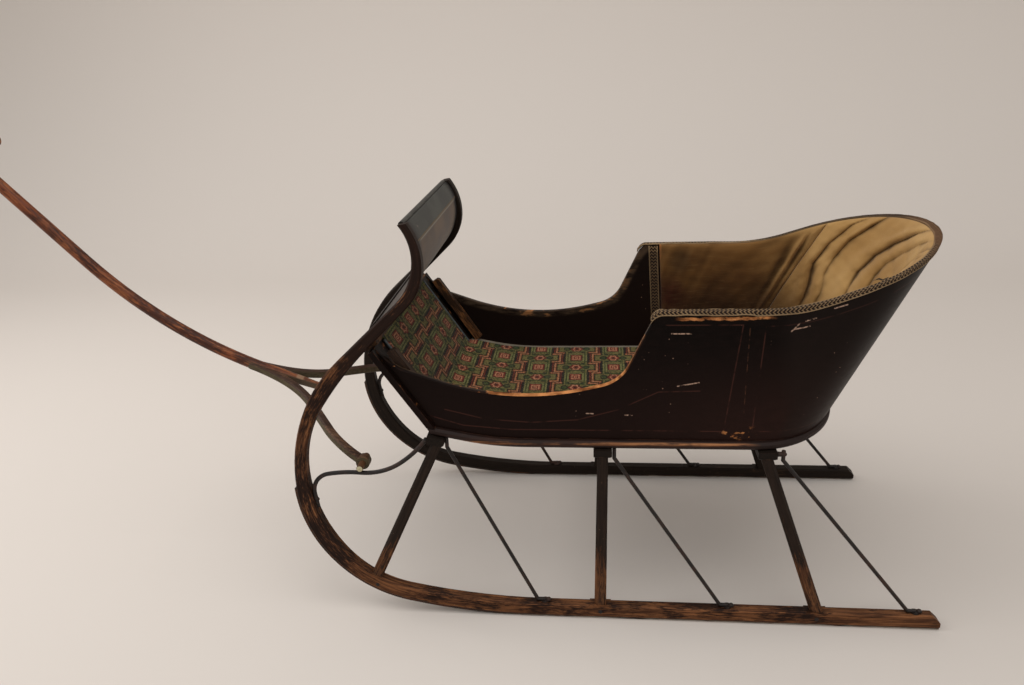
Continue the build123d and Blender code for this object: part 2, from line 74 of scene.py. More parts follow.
runner_line = [
    ("run", -0.125, 0.0135),
    ("bend", -0.3385, 0.036),
    ("bend", -0.452, 0.104),
    ("bend", -0.5005, 0.237),
    ("bend", -0.469, 0.3635),
    ("bend", -0.398, 0.452),
    ("run", -0.3165, 0.5275),
    ("bend", -0.288, 0.586),
    ("bend", -0.306, 0.648),
]
dash_start = (-0.361, 0.4955)
dash_line = [("run", -0.323, 0.5304), ("bend", -0.2933, 0.592), ("bend", -0.3086, 0.641)]
dash_thickness = 0.005
seam_height = 0.613
floor_slope = radians(12.0)  # of the floor board's upturned front
floor_bend_x = -0.190
toe_slope = radians(57.0)
toe_corner_x = -0.283  # the foot of the toe board
dowel_x = -0.404
dowel_z = (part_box("tongue_dowel")[0][2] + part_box("tongue_dowel")[1][2]) / 2
peg_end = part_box("tongue_dowel")[1][1]
toe_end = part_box("toe_board")[1][0]
eye_inner = 0.1709  # inner face of the tongue's eyes
stay_feet = (-0.109, 0.183, 0.470)
runner_top = 0.0245
braid_width = 0.016
thread_turn = 2 * pi / 0.0014  # radians a metre: the cloth has a thread every 1.4 mm
no_limit = -9.0  # a place in front of everything


def stand(x, y, z):
    """Points of the frame from places measured from the middle of the runners."""
    return np.stack(np.broadcast_arrays(np.asarray(x) + mid, y, z), axis=-1)


def wave(value, *parts):
    """A sum of sines, each part an amplitude, a number of turns per unit and a phase."""
    return sum(size * np.sin(2 * pi * turns * value + phase) for size, turns, phase in parts)


def ease(value, low, high):
    """0 below low, 1 above high, and a smooth S between them."""
    share = np.clip((value - low) / (high - low), 0, 1)
    return share * share * (3 - 2 * share)


def bell(value, middle, width):
    """A Gauss bell: 1 at the middle, and 0.37 at a width from it."""
    return np.exp(-(((value - middle) / width) ** 2))


def unit(vectors):
    """The directions of these vectors, each of length 1."""
    return vectors / np.linalg.norm(vectors, axis=-1, keepdims=True)


def sums(steps):
    """The running sum of some steps, from 0."""
    return np.concatenate([[0], np.cumsum(steps)])


def run_length(points):
    """How far along a line of points each of them is."""
    return sums(np.linalg.norm(np.diff(points, axis=0), axis=-1))


def trace(start, rows, count=24):
    """Points along runs and bends, each bend an arc that leaves along the piece before it.

    A chord from the arc's start to a point a share s along it has turned by s times half the
    arc's turn, and its length goes as the sine of that angle.
    """
    place = np.array(start)
    points = [place[None]]
    share = np.linspace(0, 1, count)[1:, None]
    heading = 0.0
    for kind, x, z in rows:
        chord = np.array((x, z)) - place
        length = np.hypot(*chord)
        angle = np.arctan2(chord[1], chord[0])
        if kind == "run":
            points.append(place + chord * share)
            heading = angle
        else:
            half = (angle - heading + pi) % (2 * pi) - pi
            reach = length * np.sin(half * share) / np.sin(half)
            way = heading + half * share
            points.append(place + reach * np.hstack([np.cos(way), np.sin(way)]))
            heading = heading + 2 * half
        place = np.array((x, z))
    return np.vstack(points)


def rim_line(x):
    """Height of the body's rim: level along the sides, an arc, then a straight rise backwards."""
    start = rim_bend_x - rim_bend_radius * tan(rim_rise / 2)
    run = np.clip(x - start, 0, rim_bend_radius * sin(rim_rise))
    arc = rim_bend_radius - np.sqrt(rim_bend_radius**2 - run**2)
    beyond = np.maximum(x - start - rim_bend_radius * sin(rim_rise), 0)
    return rim_height + arc + beyond * tan(rim_rise)


def wall(t, height, inset):
    """The body's wall round the seat, this far in from its outer face, as x, y and z.

    t is 0 at the back's middle, 1 at the right joint and -1 at the left one, and goes on along the
    straight sides. At every height the wall is half an oval, then a straight line to the joint.
    """
    share = (height - floor_bottom) / tub_height
    middle = tub_middle[0] + share * (tub_middle[1] - tub_middle[0])
    reach = tub_reach[0] + share * (tub_reach[1] - tub_reach[0]) - inset
    narrower = share * tub_narrower[1]
    half = side_half - narrower - inset
    span = pi / 2 - np.arctan(narrower / (middle - joint_x) * reach / half)
    away = np.abs(t)
    angle = span * np.minimum(away / oval_share, 1)
    straight = np.clip((away - oval_share) / (1 - oval_share), 0, 1)
    oval_x = middle + reach * np.cos(angle)
    oval_y = half * np.sin(angle)
    x = oval_x + (joint_x - oval_x) * straight - np.maximum(away - 1, 0) * joint_x
    y = oval_y + (side_half - inset - oval_y) * straight
    return x, np.sign(t) * y, height + 0 * x


def wall_thickness(t, start, end):
    """The wall's thickness: the back's up to t = start, and from t = end on the sides'."""
    return tub_wall + (side_wall - tub_wall) * ease(np.abs(t), start, end)


def side_t(x):
    """t at this place along the straight sides."""
    return 1 + (joint_x - x) / joint_x


def wall_top(t, inset, drop):
    """Height at which the wall meets the line this far below the rim."""
    height = np.full_like(t, rim_height + 0.05)
    for _ in range(16):
        height = rim_line(wall(t, height, inset)[0]) - drop
    return height


def new_object(name, data):
    """A new object with this data, in the scene."""
    made = bpy.data.objects.new(name, data)
    bpy.context.scene.collection.objects.link(made)
    return made


def surface(name, points, uv=None, hollow=None, closed=True):
    """A new object from a grid of points whose rows are loops, or open lines where it isn't closed.

    Points that fall together at its ends are merged, and the faces of a closed shape are turned
    outwards by the sign of its volume. hollow is a measure for each point that the cloth's
    material reads to paint shade into the folds.
    """
    rows, columns = points.shape[:2]
    index = np.arange(rows)[:, None] * columns + np.arange(columns + closed)[None, :] % columns
    corners = [index[:-1, :-1], index[1:, :-1], index[1:, 1:], index[:-1, 1:]]
    quads = np.stack(corners, axis=-1).reshape(-1, 4)
    flat = points.reshape(-1, 3)
    a, b, c, d = (flat[quads[:, k]] for k in range(4))
    volume = np.sum(a * np.cross(b, c)) + np.sum(a * np.cross(c, d))
    turned = volume < 0
    if turned:
        quads = quads[:, ::-1]
    mesh = bpy.data.meshes.new(name)
    mesh.from_pydata(flat.tolist(), [], quads.tolist())
    if uv is not None:
        around = [uv[:-1, :-1], uv[1:, :-1], uv[1:, 1:], uv[:-1, 1:]]
        if turned:
            around = around[::-1]
        layer = mesh.uv_layers.new(name="UVMap")
        layer.data.foreach_set("uv", np.stack(around, axis=2).reshape(-1).astype(np.float32))
    if hollow is not None:
        layer = mesh.attributes.new("hollow", "FLOAT", "POINT")
        layer.data.foreach_set("value", hollow.astype(np.float32).ravel())
    mesh.polygons.foreach_set("use_smooth", np.ones(len(quads), dtype=bool))
    work = bmesh.new()
    work.from_mesh(mesh)
    bmesh.ops.remove_doubles(work, verts=work.verts, dist=1e-6)
    work.to_mesh(mesh)
    work.free()
    return new_object(name, mesh)


def close_ends(points):
    """The grid with a last row of one point at each end, so that the shape is shut."""
    first, last = (np.broadcast_to(row.mean(axis=0), row.shape)[None] for row in (points[0], points[-1]))
    return np.concatenate([first, points, last])


def double_ends(values):
    """Values with the first and the last of them twice, to go with close_ends."""
    return np.concatenate([values[:1], values, values[-1:]])


def slab(front, back):
    """A closed loop for each row: along the front grid, then back along the other one."""
    return np.concatenate([front, back[:, ::-1]], axis=1)


def plain_uv(points):
    """A UV grid in metres: how far along the middle row and the middle column each point is."""
    rows, columns = points.shape[:2]
    closed = np.concatenate([points, points[:, :1]], axis=1)
    u = run_length(closed[:, columns // 2])[:, None]
    v = run_length(closed[rows // 2])[None, :]
    return np.stack(np.broadcast_arrays(u, v), axis=-1)


def cover(piece, material):
    """Give a piece this one material."""
    piece.data.materials.clear()
    piece.data.materials.append(material)


def dress(piece, material, slot, *nodes):
    """Give a new piece of the sleigh its material, and hide the nodes that it stands for. slot is not used.
    """
    cover(piece, material)
    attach(piece, "sleigh")
    if nodes:
        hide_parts(*nodes)


def square_to(way, helper):
    """Two directions square to a way and to each other."""
    first = unit(np.cross(helper, way))
    return first, np.cross(way, first)


def domes(name, centres, outwards, radius, height, sides=12, rings=4):
    """Round heads: each a quarter ellipse turned about its outward line and closed below."""
    centres = np.asarray(centres, dtype=float)
    outwards = unit(np.asarray(outwards, dtype=float))
    helper = np.where(np.abs(outwards[:, 2:]) > 0.9, (1.0, 0.0, 0.0), (0.0, 0.0, 1.0))
    first, second = square_to(outwards, helper)
    tilt = np.linspace(0, pi / 2, rings + 1)[:, None]
    turn = np.linspace(0, 2 * pi, sides, endpoint=False)[None, :]
    out = np.cos(tilt) * radius
    up = np.sin(tilt) * height + 0 * turn
    up = np.concatenate([np.full((1, sides), -0.001), up])
    out = np.concatenate([out[:1], out])
    parts = ((out * np.cos(turn), first), (out * np.sin(turn), second), (up, outwards))
    points = centres[:, None, None, :]
    for share, way in parts:
        points = points + share[None, :, :, None] * way[:, None, None, :]
    pieces = [surface(f"{name}_{k}", close_ends(rows)) for k, rows in enumerate(points)]
    return join(pieces, name)


def join(pieces, name):
    """Several new objects as one."""
    with bpy.context.temp_override(
        active_object=pieces[0], selected_objects=pieces, selected_editable_objects=pieces
    ):
        bpy.ops.object.join()
    pieces[0].name = name
    pieces[0].data.name = name
    return pieces[0]


def tube(name, path, radius, sides=10):
    """A round rod: a small circle carried along a path, square to it."""
    path = np.asarray(path, dtype=float)
    way = unit(np.gradient(path, axis=0))
    first, second = square_to(way, (0.0, 1.0, 0.0) if abs(way[:, 1]).max() < 0.9 else (0.0, 0.0, 1.0))
    turn = np.linspace(0, 2 * pi, sides, endpoint=False)[None, :, None]
    ring = np.cos(turn) * first[:, None] + np.sin(turn) * second[:, None]
    radius = np.broadcast_to(radius, len(path))[:, None, None]
    return surface(name, close_ends(path[:, None] + radius * ring))


# Grain: three measures laid on a node's points as an attribute that the wood materials read


def lay_grain(node, grain):
    """Keep, for each point of a node, how far it is along, across and through the wood."""
    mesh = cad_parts[node].data
    layer = mesh.attributes.new("grain", "FLOAT_VECTOR", "POINT")
    layer.data.foreach_set("vector", np.ascontiguousarray(grain, dtype=np.float32).ravel())


def read_points(mesh):
    """The places of a mesh's points."""
    points = np.empty(len(mesh.vertices) * 3)
    mesh.vertices.foreach_get("co", points)
    return points.reshape(-1, 3)


def node_points(node):
    """The places of a node's points, from the middle of the runners."""
    return read_points(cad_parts[node].data) - (mid, 0, 0)


def straight_grain(node, shift):
    """Grain along a straight piece's longest direction, found from the spread of its points."""
    points = node_points(node)
    points = points - points.mean(axis=0)
    axes = np.linalg.svd(points, full_matrices=False)[2]
    lay_grain(node, points @ axes.T + shift)


def bent_grain(node, line, shift):
    """Grain along a bent piece: each point is measured from the nearest place of a line x, z."""
    points = node_points(node)
    flat = points[:, [0, 2]]
    start, step = line[:-1], np.diff(line, axis=0)
    length = np.linalg.norm(step, axis=1)
    before = sums(length[:-1])
    away = flat[:, None] - start[None]
    share = np.clip(np.sum(away * step, axis=-1) / length**2, 0, 1)
    offset = away - share[..., None] * step
    gap = np.linalg.norm(offset, axis=-1)
    nearest = gap.argmin(axis=1)
    pick = np.arange(len(flat)), nearest
    along = before[nearest] + share[pick] * length[nearest]
    side = step[nearest, 0] * offset[pick][:, 1] - step[nearest, 1] * offset[pick][:, 0]
    lay_grain(node, np.stack([along, np.sign(side) * gap[pick], points[:, 1]], axis=1) + shift)


# Materials: a small hand for writing nodes, then one function for each finish


class Value:
    """A measure or a colour that varies over a surface, and the sums that it takes part in."""

    def __init__(self, finish, socket):
        self.finish, self.socket = finish, socket

    def __add__(self, other):
        return self.finish.math("ADD", self, other)

    def __sub__(self, other):
        return self.finish.math("SUBTRACT", self, other)

    def __rsub__(self, other):
        return self.finish.math("SUBTRACT", other, self)

    def __mul__(self, other):
        return self.finish.math("MULTIPLY", self, other)

    def __truediv__(self, other):
        return self.finish.math("DIVIDE", self, other)

    def __mod__(self, other):
        return self.finish.math("FLOORED_MODULO", self, other)

    def __abs__(self):
        return self.finish.math("ABSOLUTE", self)

    def ease(self, low, high):
        """0 below low and 1 above high, or the other way round where high is the lower."""
        limits = (low, high, 0.0, 1.0) if low < high else (high, low, 1.0, 0.0)
        return self.finish.value("MapRange", self, *limits, interpolation_type="SMOOTHSTEP")

    def near(self, place, width, soft):
        """1 within half a width of a place, fading to 0 over the soft edge."""
        return abs(self - place).ease(width / 2 + soft, width / 2)


class Finish:
    """One material, the nodes that paint it, and its colour so far."""

    def __init__(self, name, **shader):
        self.material = bpy.data.materials.new(name)
        self.material.use_nodes = True
        self.tree = self.material.node_tree
        self.shader = self.tree.nodes["Principled BSDF"]
        self.colour = None
        self.set(self.shader, **{socket.replace("_", " "): value for socket, value in shader.items()})

    def set(self, node, **values):
        """Feed a node's named inputs."""
        for socket, value in values.items():
            self.feed(value, node.inputs[socket])

    def feed(self, value, socket):
        """Link a varying value to a socket, or set its plain one."""
        if isinstance(value, Value):
            self.tree.links.new(value.socket, socket)
        elif value is not None:
            socket.default_value = value

    def node(self, kind, *inputs, **settings):
        """A node with its settings, and its inputs in their order."""
        made = self.tree.nodes.new("ShaderNode" + kind)
        for setting, value in settings.items():
            setattr(made, setting, value)
        for socket, value in zip(made.inputs, inputs):
            self.feed(value, socket)
        return made

    def value(self, kind, *inputs, output=0, **settings):
        """What a new node gives."""
        return Value(self, self.node(kind, *inputs, **settings).outputs[output])

    def math(self, operation, *terms):
        return self.value("Math", *terms, operation=operation)

    def vector(self, operation, *terms):
        """A sum of vectors, or a length or product of them."""
        plain = operation in ("DISTANCE", "LENGTH", "DOT_PRODUCT")
        return self.value("VectorMath", *terms, output="Value" if plain else 0, operation=operation)

    def mix(self, share, first, second):
        """Two colours mixed by a share."""
        made = self.node("Mix", data_type="RGBA")
        for number, value in ((0, share), (6, as_colour(first)), (7, as_colour(second))):
            self.feed(value, made.inputs[number])
        return Value(self, made.outputs[2])

    def coat(self, share, tone):
        """Lay a share of one more colour over the material's own."""
        self.colour = self.mix(share, self.colour, tone)

    def split(self, source):
        """A vector and its x, y and z."""
        return source, *(Value(self, part) for part in self.node("SeparateXYZ", source).outputs)

    def place(self):
        """The object's own coordinates as x, y and z."""
        return self.split(self.value("TexCoord", output="Object"))

    def cloth(self):
        """The piece's UV map, in metres."""
        return self.split(self.value("UVMap", uv_map="UVMap"))[:3]

    def measure(self, name, output="Fac"):
        """An attribute of the piece."""
        return self.value("Attribute", output=output, attribute_name=name)

    def normal(self):
        """The way that the surface faces."""
        return self.value("NewGeometry", output="Normal")

    def pattern(self, kind, output, source, stretch, **values):
        """A pattern of the given kind, stretched by a Mapping node."""
        moved = self.node("Mapping", source)
        self.set(moved, Scale=stretch)
        made = self.node(kind)
        self.set(made, Vector=Value(self, moved.outputs[0]), **values)
        return Value(self, made.outputs[output])

    def noise(self, source, scale, stretch=(1, 1, 1), detail=4.0, roughness=0.55):
        """Cloudy noise."""
        values = {"Scale": scale, "Detail": detail, "Roughness": roughness}
        return self.pattern("TexNoise", "Fac", source, stretch, **values)

    def cells(self, source, scale, stretch=(1, 1, 1)):
        """Distance from the nearest of many scattered points."""
        return self.pattern("TexVoronoi", "Distance", source, stretch, Scale=scale)

    def strokes(self, source, segments, width, soft):
        """1 on any of the straight strokes, each given by its two ends, fading over soft."""
        best = None
        for start, end in segments:
            start, end = Vector(start), Vector(end)
            step = end - start
            away = self.vector("SUBTRACT", source, start)
            dot = self.vector("DOT_PRODUCT", away, step)
            share = self.value("Math", dot, step.length_squared, operation="DIVIDE", use_clamp=True)
            reach = self.node("VectorMath", step, operation="SCALE")
            self.set(reach, Scale=share)
            gap = self.vector("DISTANCE", away, Value(self, reach.outputs[0]))
            best = gap if best is None else self.math("MINIMUM", best, gap)
        return best.ease(width / 2 + soft, width / 2)

    def edges(self, radius):
        """1 on sharp outer edges: where the rounded normal leaves the true one."""
        rounded = self.node("Bevel", samples=6)
        self.set(rounded, Radius=radius)
        return self.vector("DOT_PRODUCT", Value(self, rounded.outputs[0]), self.normal()).ease(0.97, 0.80)

    def bump(self, height, distance, strength=1.0):
        """Raise the surface by a height pattern."""
        made = self.node("Bump")
        self.set(made, Strength=strength, Distance=distance, Height=height)
        self.set(self.shader, Normal=Value(self, made.outputs[0]))

    def paint(self, roughness=None):
        """Send the finished colour and roughness to the shader."""
        self.set(self.shader, **{"Base Color": self.colour, "Roughness": roughness})
        return self.material


def as_colour(value):
    """A varying colour as it is, or a screen colour of three numbers from 0 to 255 as a linear one."""
    if isinstance(value, Value):
        return value
    screen = np.array(value) / 255
    linear = np.where(screen <= 0.04045, screen / 12.92, ((screen + 0.055) / 1.055) ** 2.4)
    return (*linear, 1.0)


def body_paint(name, bare_top):
    """Old dark maroon paint: thin dull red lines, scratches, chips, and bare wood along worn edges."""
    finish = Finish(name, Specular_IOR_Level=0.06)
    spot, x, y, z = finish.place()
    flat = finish.value("CombineXYZ", x, 0.0, z)

    cloud = finish.noise(spot, 7.0)
    fine = finish.noise(spot, 60.0, (1, 1, 2.5))
    low = z.ease(0.5, 0.32)
    back = x.ease(mid - 0.1, mid + 0.3)
    lighter = low * (back * 0.5 + 0.3) + cloud * 0.12
    finish.colour = finish.mix(lighter, (6, 4, 3), (42, 25, 21))
    grain = fine.ease(0.35, 0.75)
    finish.coat(grain * 0.35, (26, 15, 12))

    stripes = finish.strokes(flat, stripe_lines(), 0.0012, 0.0006)
    broken = finish.noise(spot, 38.0).ease(0.36, 0.52)
    outside = abs(y).ease(side_half - 0.006, side_half - 0.003)
    outside = finish.math("MAXIMUM", outside, x.ease(mid + joint_x, mid + joint_x + 0.002))
    stripes = stripes * broken * outside
    finish.coat(stripes * 0.45, (78, 46, 38))

    inner = abs(y).ease(side_half - 0.003, side_half - 0.006)
    finish.coat(inner * 0.5, (32, 24, 21))
    rubbed = finish.strokes(flat, swoop_lines(), 0.014, 0.008) * inner
    dashes = finish.noise(spot, 110.0, (0.35, 1, 1), detail=5.0)
    finish.coat(rubbed * dashes.ease(0.3, 0.62), (72, 58, 46))
    flecks = rubbed * x.ease(mid + 0.06, mid - 0.04) * x.ease(mid - 0.24, mid - 0.17)
    finish.coat(flecks * dashes.ease(0.54, 0.64), (150, 104, 66))

    scratches = finish.strokes(flat, scratch_lines(), 0.001, 0.0008)
    near_side = y.ease(-0.15, -0.17)
    ragged = finish.noise(spot, 260.0).ease(0.38, 0.55)
    scratches = scratches * near_side * ragged
    finish.coat(scratches, (168, 138, 120))

    dots = finish.cells(spot, 85.0).ease(0.085, 0.045)
    where = finish.noise(spot, 9.0, detail=1.0).ease(0.55, 0.66)
    finish.coat(dots * where, (146, 116, 98))

    bare_noise = finish.noise(spot, 55.0, (1, 1, 1.6), detail=6.0)
    up = finish.split(finish.normal())[3]
    top = up.ease(0.25, 0.6) * z.ease(floor_top + 0.02, floor_top + 0.04)
    edge = finish.edges(0.0022) * bare_noise.ease(0.46, 0.6)
    if bare_top:
        worn_near = y.ease(-0.1, -0.16)
        swoop = x.ease(mid - 0.25, mid - 0.16) * x.ease(mid + 0.05, mid + 0.02)
        amount = worn_near * swoop * 0.4 + 0.34
        bare = top * (amount - bare_noise).ease(-0.02, 0.03)
        under_braid = under_braid_mask(x, y, z, bare_noise)
        joint_foot = joint_foot_mask(x, z, bare_noise)
        bare = finish.math("MAXIMUM", finish.math("MAXIMUM", bare, under_braid), joint_foot)
    else:
        bare = top * (bare_noise.ease(0.6, 0.66) * 0.6)
    long_grain = finish.noise(spot, 45.0, (1, 1, 3), detail=6.0).ease(0.3, 0.7)
    wood = finish.mix(long_grain, (104, 58, 30), (208, 140, 86))
    finish.coat(edge * 0.7, (92, 60, 42))
    finish.coat(bare, wood)

    shine = fine * 0.18 + 0.34
    rough = finish.math("MAXIMUM", shine, bare * 0.75)
    height = fine * 0.4 + cloud * 0.6
    finish.bump(height - bare * 0.5, 0.0004, 0.5)
    return finish.paint(rough)


def side_strokes(points):
    """Strokes from place to place of a line in the side view."""
    places = [(x + mid, 0.0, z) for x, z in points]
    return list(zip(places[:-1], places[1:]))


def swoop_lines():
    """The swept top edge of the sides, as strokes in the side view."""
    x = [-0.331, -0.2736, -0.240, -0.200, -0.137, -0.080, -0.0426, -0.0238, 0.003, 0.0162, 0.0468, 0.058]
    z = [0.430, 0.4091, 0.3986, 0.3901, 0.3852, 0.3894, 0.3966, 0.4012, 0.4135, 0.4339, 0.4986, 0.511]
    return side_strokes(zip(x, z))


def stripe_lines():
    """The thin painted frames on the sides and the back, as strokes in the side view."""
    foot, side_end, back_start = 0.3275, 0.1575, 0.199
    back = [(x, float(rim_line(x)) - 0.0235) for x in np.linspace(0.2075, 0.46, 9)]
    swept_x = (-0.262, -0.20, -0.13, -0.06, 0.0, 0.06, 0.12)
    swept_z = (0.361, 0.345, 0.340, 0.345, 0.362, 0.392, 0.394)
    frames = (
        zip(swept_x, swept_z),
        [(-0.292, 0.352), (-0.235, 0.334), (-0.16, foot), (side_end, foot)],
        [(side_end, foot), (0.1755, 0.497), (0.068, 0.497)],
        [(back_start, foot)] + back,
        [(back_start, foot), (0.342, foot)],
    )
    return [stroke for points in frames for stroke in side_strokes(points)]


def scratch_lines():
    """The longer scratches on the left side, as strokes in the side view."""
    marks = [
        ((0.0875, 0.4015), (0.1180, 0.4075)),
        ((0.243, 0.485), (0.254, 0.497)),
        ((0.246, 0.488), (0.268, 0.492)),
        ((0.262, 0.500), (0.276, 0.504)),
        ((0.300, 0.5175), (0.318, 0.5225)),
        ((0.076, 0.484), (0.104, 0.484)),
        ((-0.046, 0.356), (-0.036, 0.3555)),
        ((0.012, 0.3535), (0.022, 0.3535)),
    ]
    return [stroke for mark in marks for stroke in side_strokes(mark)]


def under_braid_mask(x, y, z, noise):
    """Bare wood left on the left side where the braid has slipped up."""
    band = (z + noise * 0.01).near(rim_height - 0.0056, 0.0026, 0.002)
    ends = x.ease(mid + 0.078, mid + 0.095) * x.ease(mid + 0.224, mid + 0.204)
    side = y.ease(-0.15, -0.17)
    return band * ends * side * noise.ease(0.34, 0.5)


def joint_foot_mask(x, z, noise):
    """Chipped wood at the foot of the joint between side and back."""
    patch = x.near(mid + 0.178, 0.03, 0.015) * z.ease(0.345, 0.318)
    return patch * noise.ease(0.56, 0.62)


def floor_paint():
    """The floor board: body paint, with its rounded edge rubbed to orange wood in places."""
    finish = Finish("floor_paint", Specular_IOR_Level=0.16)
    spot, x, y, z = finish.place()
    cloud = finish.noise(spot, 9.0)
    finish.colour = finish.mix(cloud, (22, 15, 13), (48, 33, 29))
    patch = finish.noise(spot, 22.0, (0.45, 1, 2.5), detail=7.0, roughness=0.65)
    grain = finish.noise(spot, 60.0, (0.12, 1, 3.0), detail=5.0)
    upper = (z + patch * 0.004).near(floor_top - 0.0012, 0.003, 0.0016)
    outer = abs(y).ease(side_half + 0.0005, side_half + 0.0025)
    outer = outer * x.ease(mid + joint_x + 0.03, mid + joint_x)
    worn = upper * outer * patch.ease(0.4, 0.56)
    tone = finish.mix(grain.ease(0.35, 0.65), (84, 50, 32), (160, 108, 68))
    brown = outer * grain.ease(0.4, 0.65)
    finish.coat(brown * 0.55, (56, 34, 26))
    finish.coat(worn, tone)
    edge = finish.edges(0.002) * patch.ease(0.5, 0.62)
    finish.coat(edge * 0.5, (120, 80, 54))
    inside = abs(y).ease(side_half - 0.006, side_half - 0.01)
    inside = inside * x.ease(mid + joint_x, mid + joint_x - 0.01)
    inside = inside * x.ease(toe_end, toe_end + 0.003)
    dusty = finish.mix(finish.noise(spot, 40.0), (112, 104, 92), (156, 146, 128))
    finish.coat(inside * z.ease(floor_top - 0.002, floor_top - 0.0005), dusty)
    finish.bump(patch, 0.0005, 0.5)
    return finish.paint(cloud * 0.2 + 0.45)


def old_wood(
    name, dark, worn, bright, amount, gloss=0.42, level=0.08, low=None, extra=0.12, high=None,
    flank=None, flank_from=0.0, band=None,
):
    """Painted or varnished wood with long grain: dark finish rubbed through to warm wood.

    It reads how far along, across and through the wood a point is. Below the height low it is
    rubbed more, and above the height high less. Behind the place flank_from, faces that look
    sideways or down have a weathered colour of their own. At the place band the top is rubbed pale.
    """
    finish = Finish(name, Specular_IOR_Level=level)
    lines = finish.measure("grain", "Vector")
    spot, x, _, z = finish.place()
    streak = finish.noise(lines, 14.0, (1.0, 18.0, 18.0), detail=7.0, roughness=0.7)
    fine = finish.noise(lines, 60.0, (1.0, 9.0, 9.0), detail=5.0, roughness=0.7)
    cloud = finish.noise(lines, 16.0, (1, 2.0, 2.0), detail=6.0, roughness=0.6)
    broad = finish.noise(lines, 3.0, detail=2.0)
    rub = cloud * 0.55 + broad * 0.45 + (fine - 0.5) * 0.6
    if low:
        rub = rub + z.ease(low + 0.02, low - 0.04) * extra
    if high:
        rub = rub - z.ease(high - 0.06, high + 0.06) * 0.08
    worn_share = rub.ease(0.94 - amount, 1.06 - amount)
    finish.colour = finish.mix(streak.ease(0.3, 0.7), dark, tuple(1.5 * v for v in dark))
    warm = finish.mix(streak.ease(0.38, 0.7), worn, bright)
    finish.coat(worn_share, warm)
    if flank:
        up = finish.split(finish.normal())[3]
        weathered = finish.mix(streak.ease(0.35, 0.65), flank, tuple(0.7 * v for v in flank))
        beside = up.ease(0.8, 0.35) * cloud.ease(0.2, 0.45)
        beside = beside * x.ease(mid + flank_from - 0.012, mid + flank_from + 0.012)
        finish.coat(beside * 0.85, weathered)
    if band:
        ring = x.near(mid + band, 0.009, 0.003) * up.ease(0.3, 0.6)
        finish.coat(ring * 0.7, (150, 120, 94))
    edge = finish.edges(0.0016) * rub.ease(0.5, 0.66)
    finish.coat(edge * 0.45, bright)
    specks = finish.cells(spot, 160.0).ease(0.1, 0.05)
    finish.coat(specks * cloud.ease(0.5, 0.6) * 0.6, (150, 128, 104))
    finish.bump(streak + fine * 0.6, 0.0006, 0.55)
    return finish.paint(cloud * 0.2 + gloss)


def peg_wood():
    """The tongue's pegs: rubbed varnish along them, and pale end grain with a dark ring outside."""
    finish = Finish("peg_wood", Specular_IOR_Level=0.2)
    spot, x, y, z = finish.place()
    streak = finish.noise(spot, 30.0, (6, 1, 6))
    finish.colour = finish.mix(streak, (58, 36, 24), (108, 72, 46))
    level = finish.value("CombineXYZ", x, 0.0, z)
    centre = (mid + dowel_x, 0.0, dowel_z)
    out = finish.vector("DISTANCE", level, centre)
    grain = finish.noise(spot, 900.0, detail=2.0)
    pale = finish.mix(grain.ease(0.35, 0.65), (150, 138, 104), (206, 198, 166))
    pale = finish.mix(out.ease(0.0008, 0.0), pale, (110, 92, 64))
    end_grain = finish.mix(out.ease(0.0046, 0.0051), pale, (46, 32, 22))
    tip = abs(y).ease(peg_end - 0.0009, peg_end - 0.0003)
    finish.coat(tip, end_grain)
    finish.bump(streak + grain, 0.0003, 0.5)
    return finish.paint(streak * 0.2 + 0.45)


def rod_iron():
    """Forged iron under black paint, brown with rust in patches."""
    finish = Finish("rod_iron", Specular_IOR_Level=0.3)
    spot = finish.place()[0]
    rust = finish.noise(spot, 45.0, detail=6.0).ease(0.46, 0.66)
    pits = finish.noise(spot, 420.0, detail=2.0)
    finish.colour = finish.mix(rust, (24, 18, 16), (54, 36, 29))
    finish.coat(pits.ease(0.55, 0.75) * 0.45, (78, 55, 43))
    finish.bump(pits, 0.00025, 0.6)
    return finish.paint(rust * 0.3 + 0.42)


def shoe_steel():
    """Steel shoe strips: dark and rusty above, rubbed brighter along the underside."""
    finish = Finish("shoe_steel", Metallic=0.7)
    spot, _, _, z = finish.place()
    rust = finish.noise(spot, 35.0, (1, 3, 3), detail=6.0).ease(0.42, 0.62)
    rubbed = z.ease(0.0026, 0.0008)
    streak = finish.noise(spot, 60.0, (0.4, 12, 4), detail=3.0)
    finish.colour = finish.mix(rust, (52, 43, 38), (84, 54, 38))
    finish.coat(rubbed * streak.ease(0.35, 0.6), (168, 160, 148))
    finish.bump(streak, 0.0002, 0.5)
    return finish.paint(rust * 0.3 + 0.38)


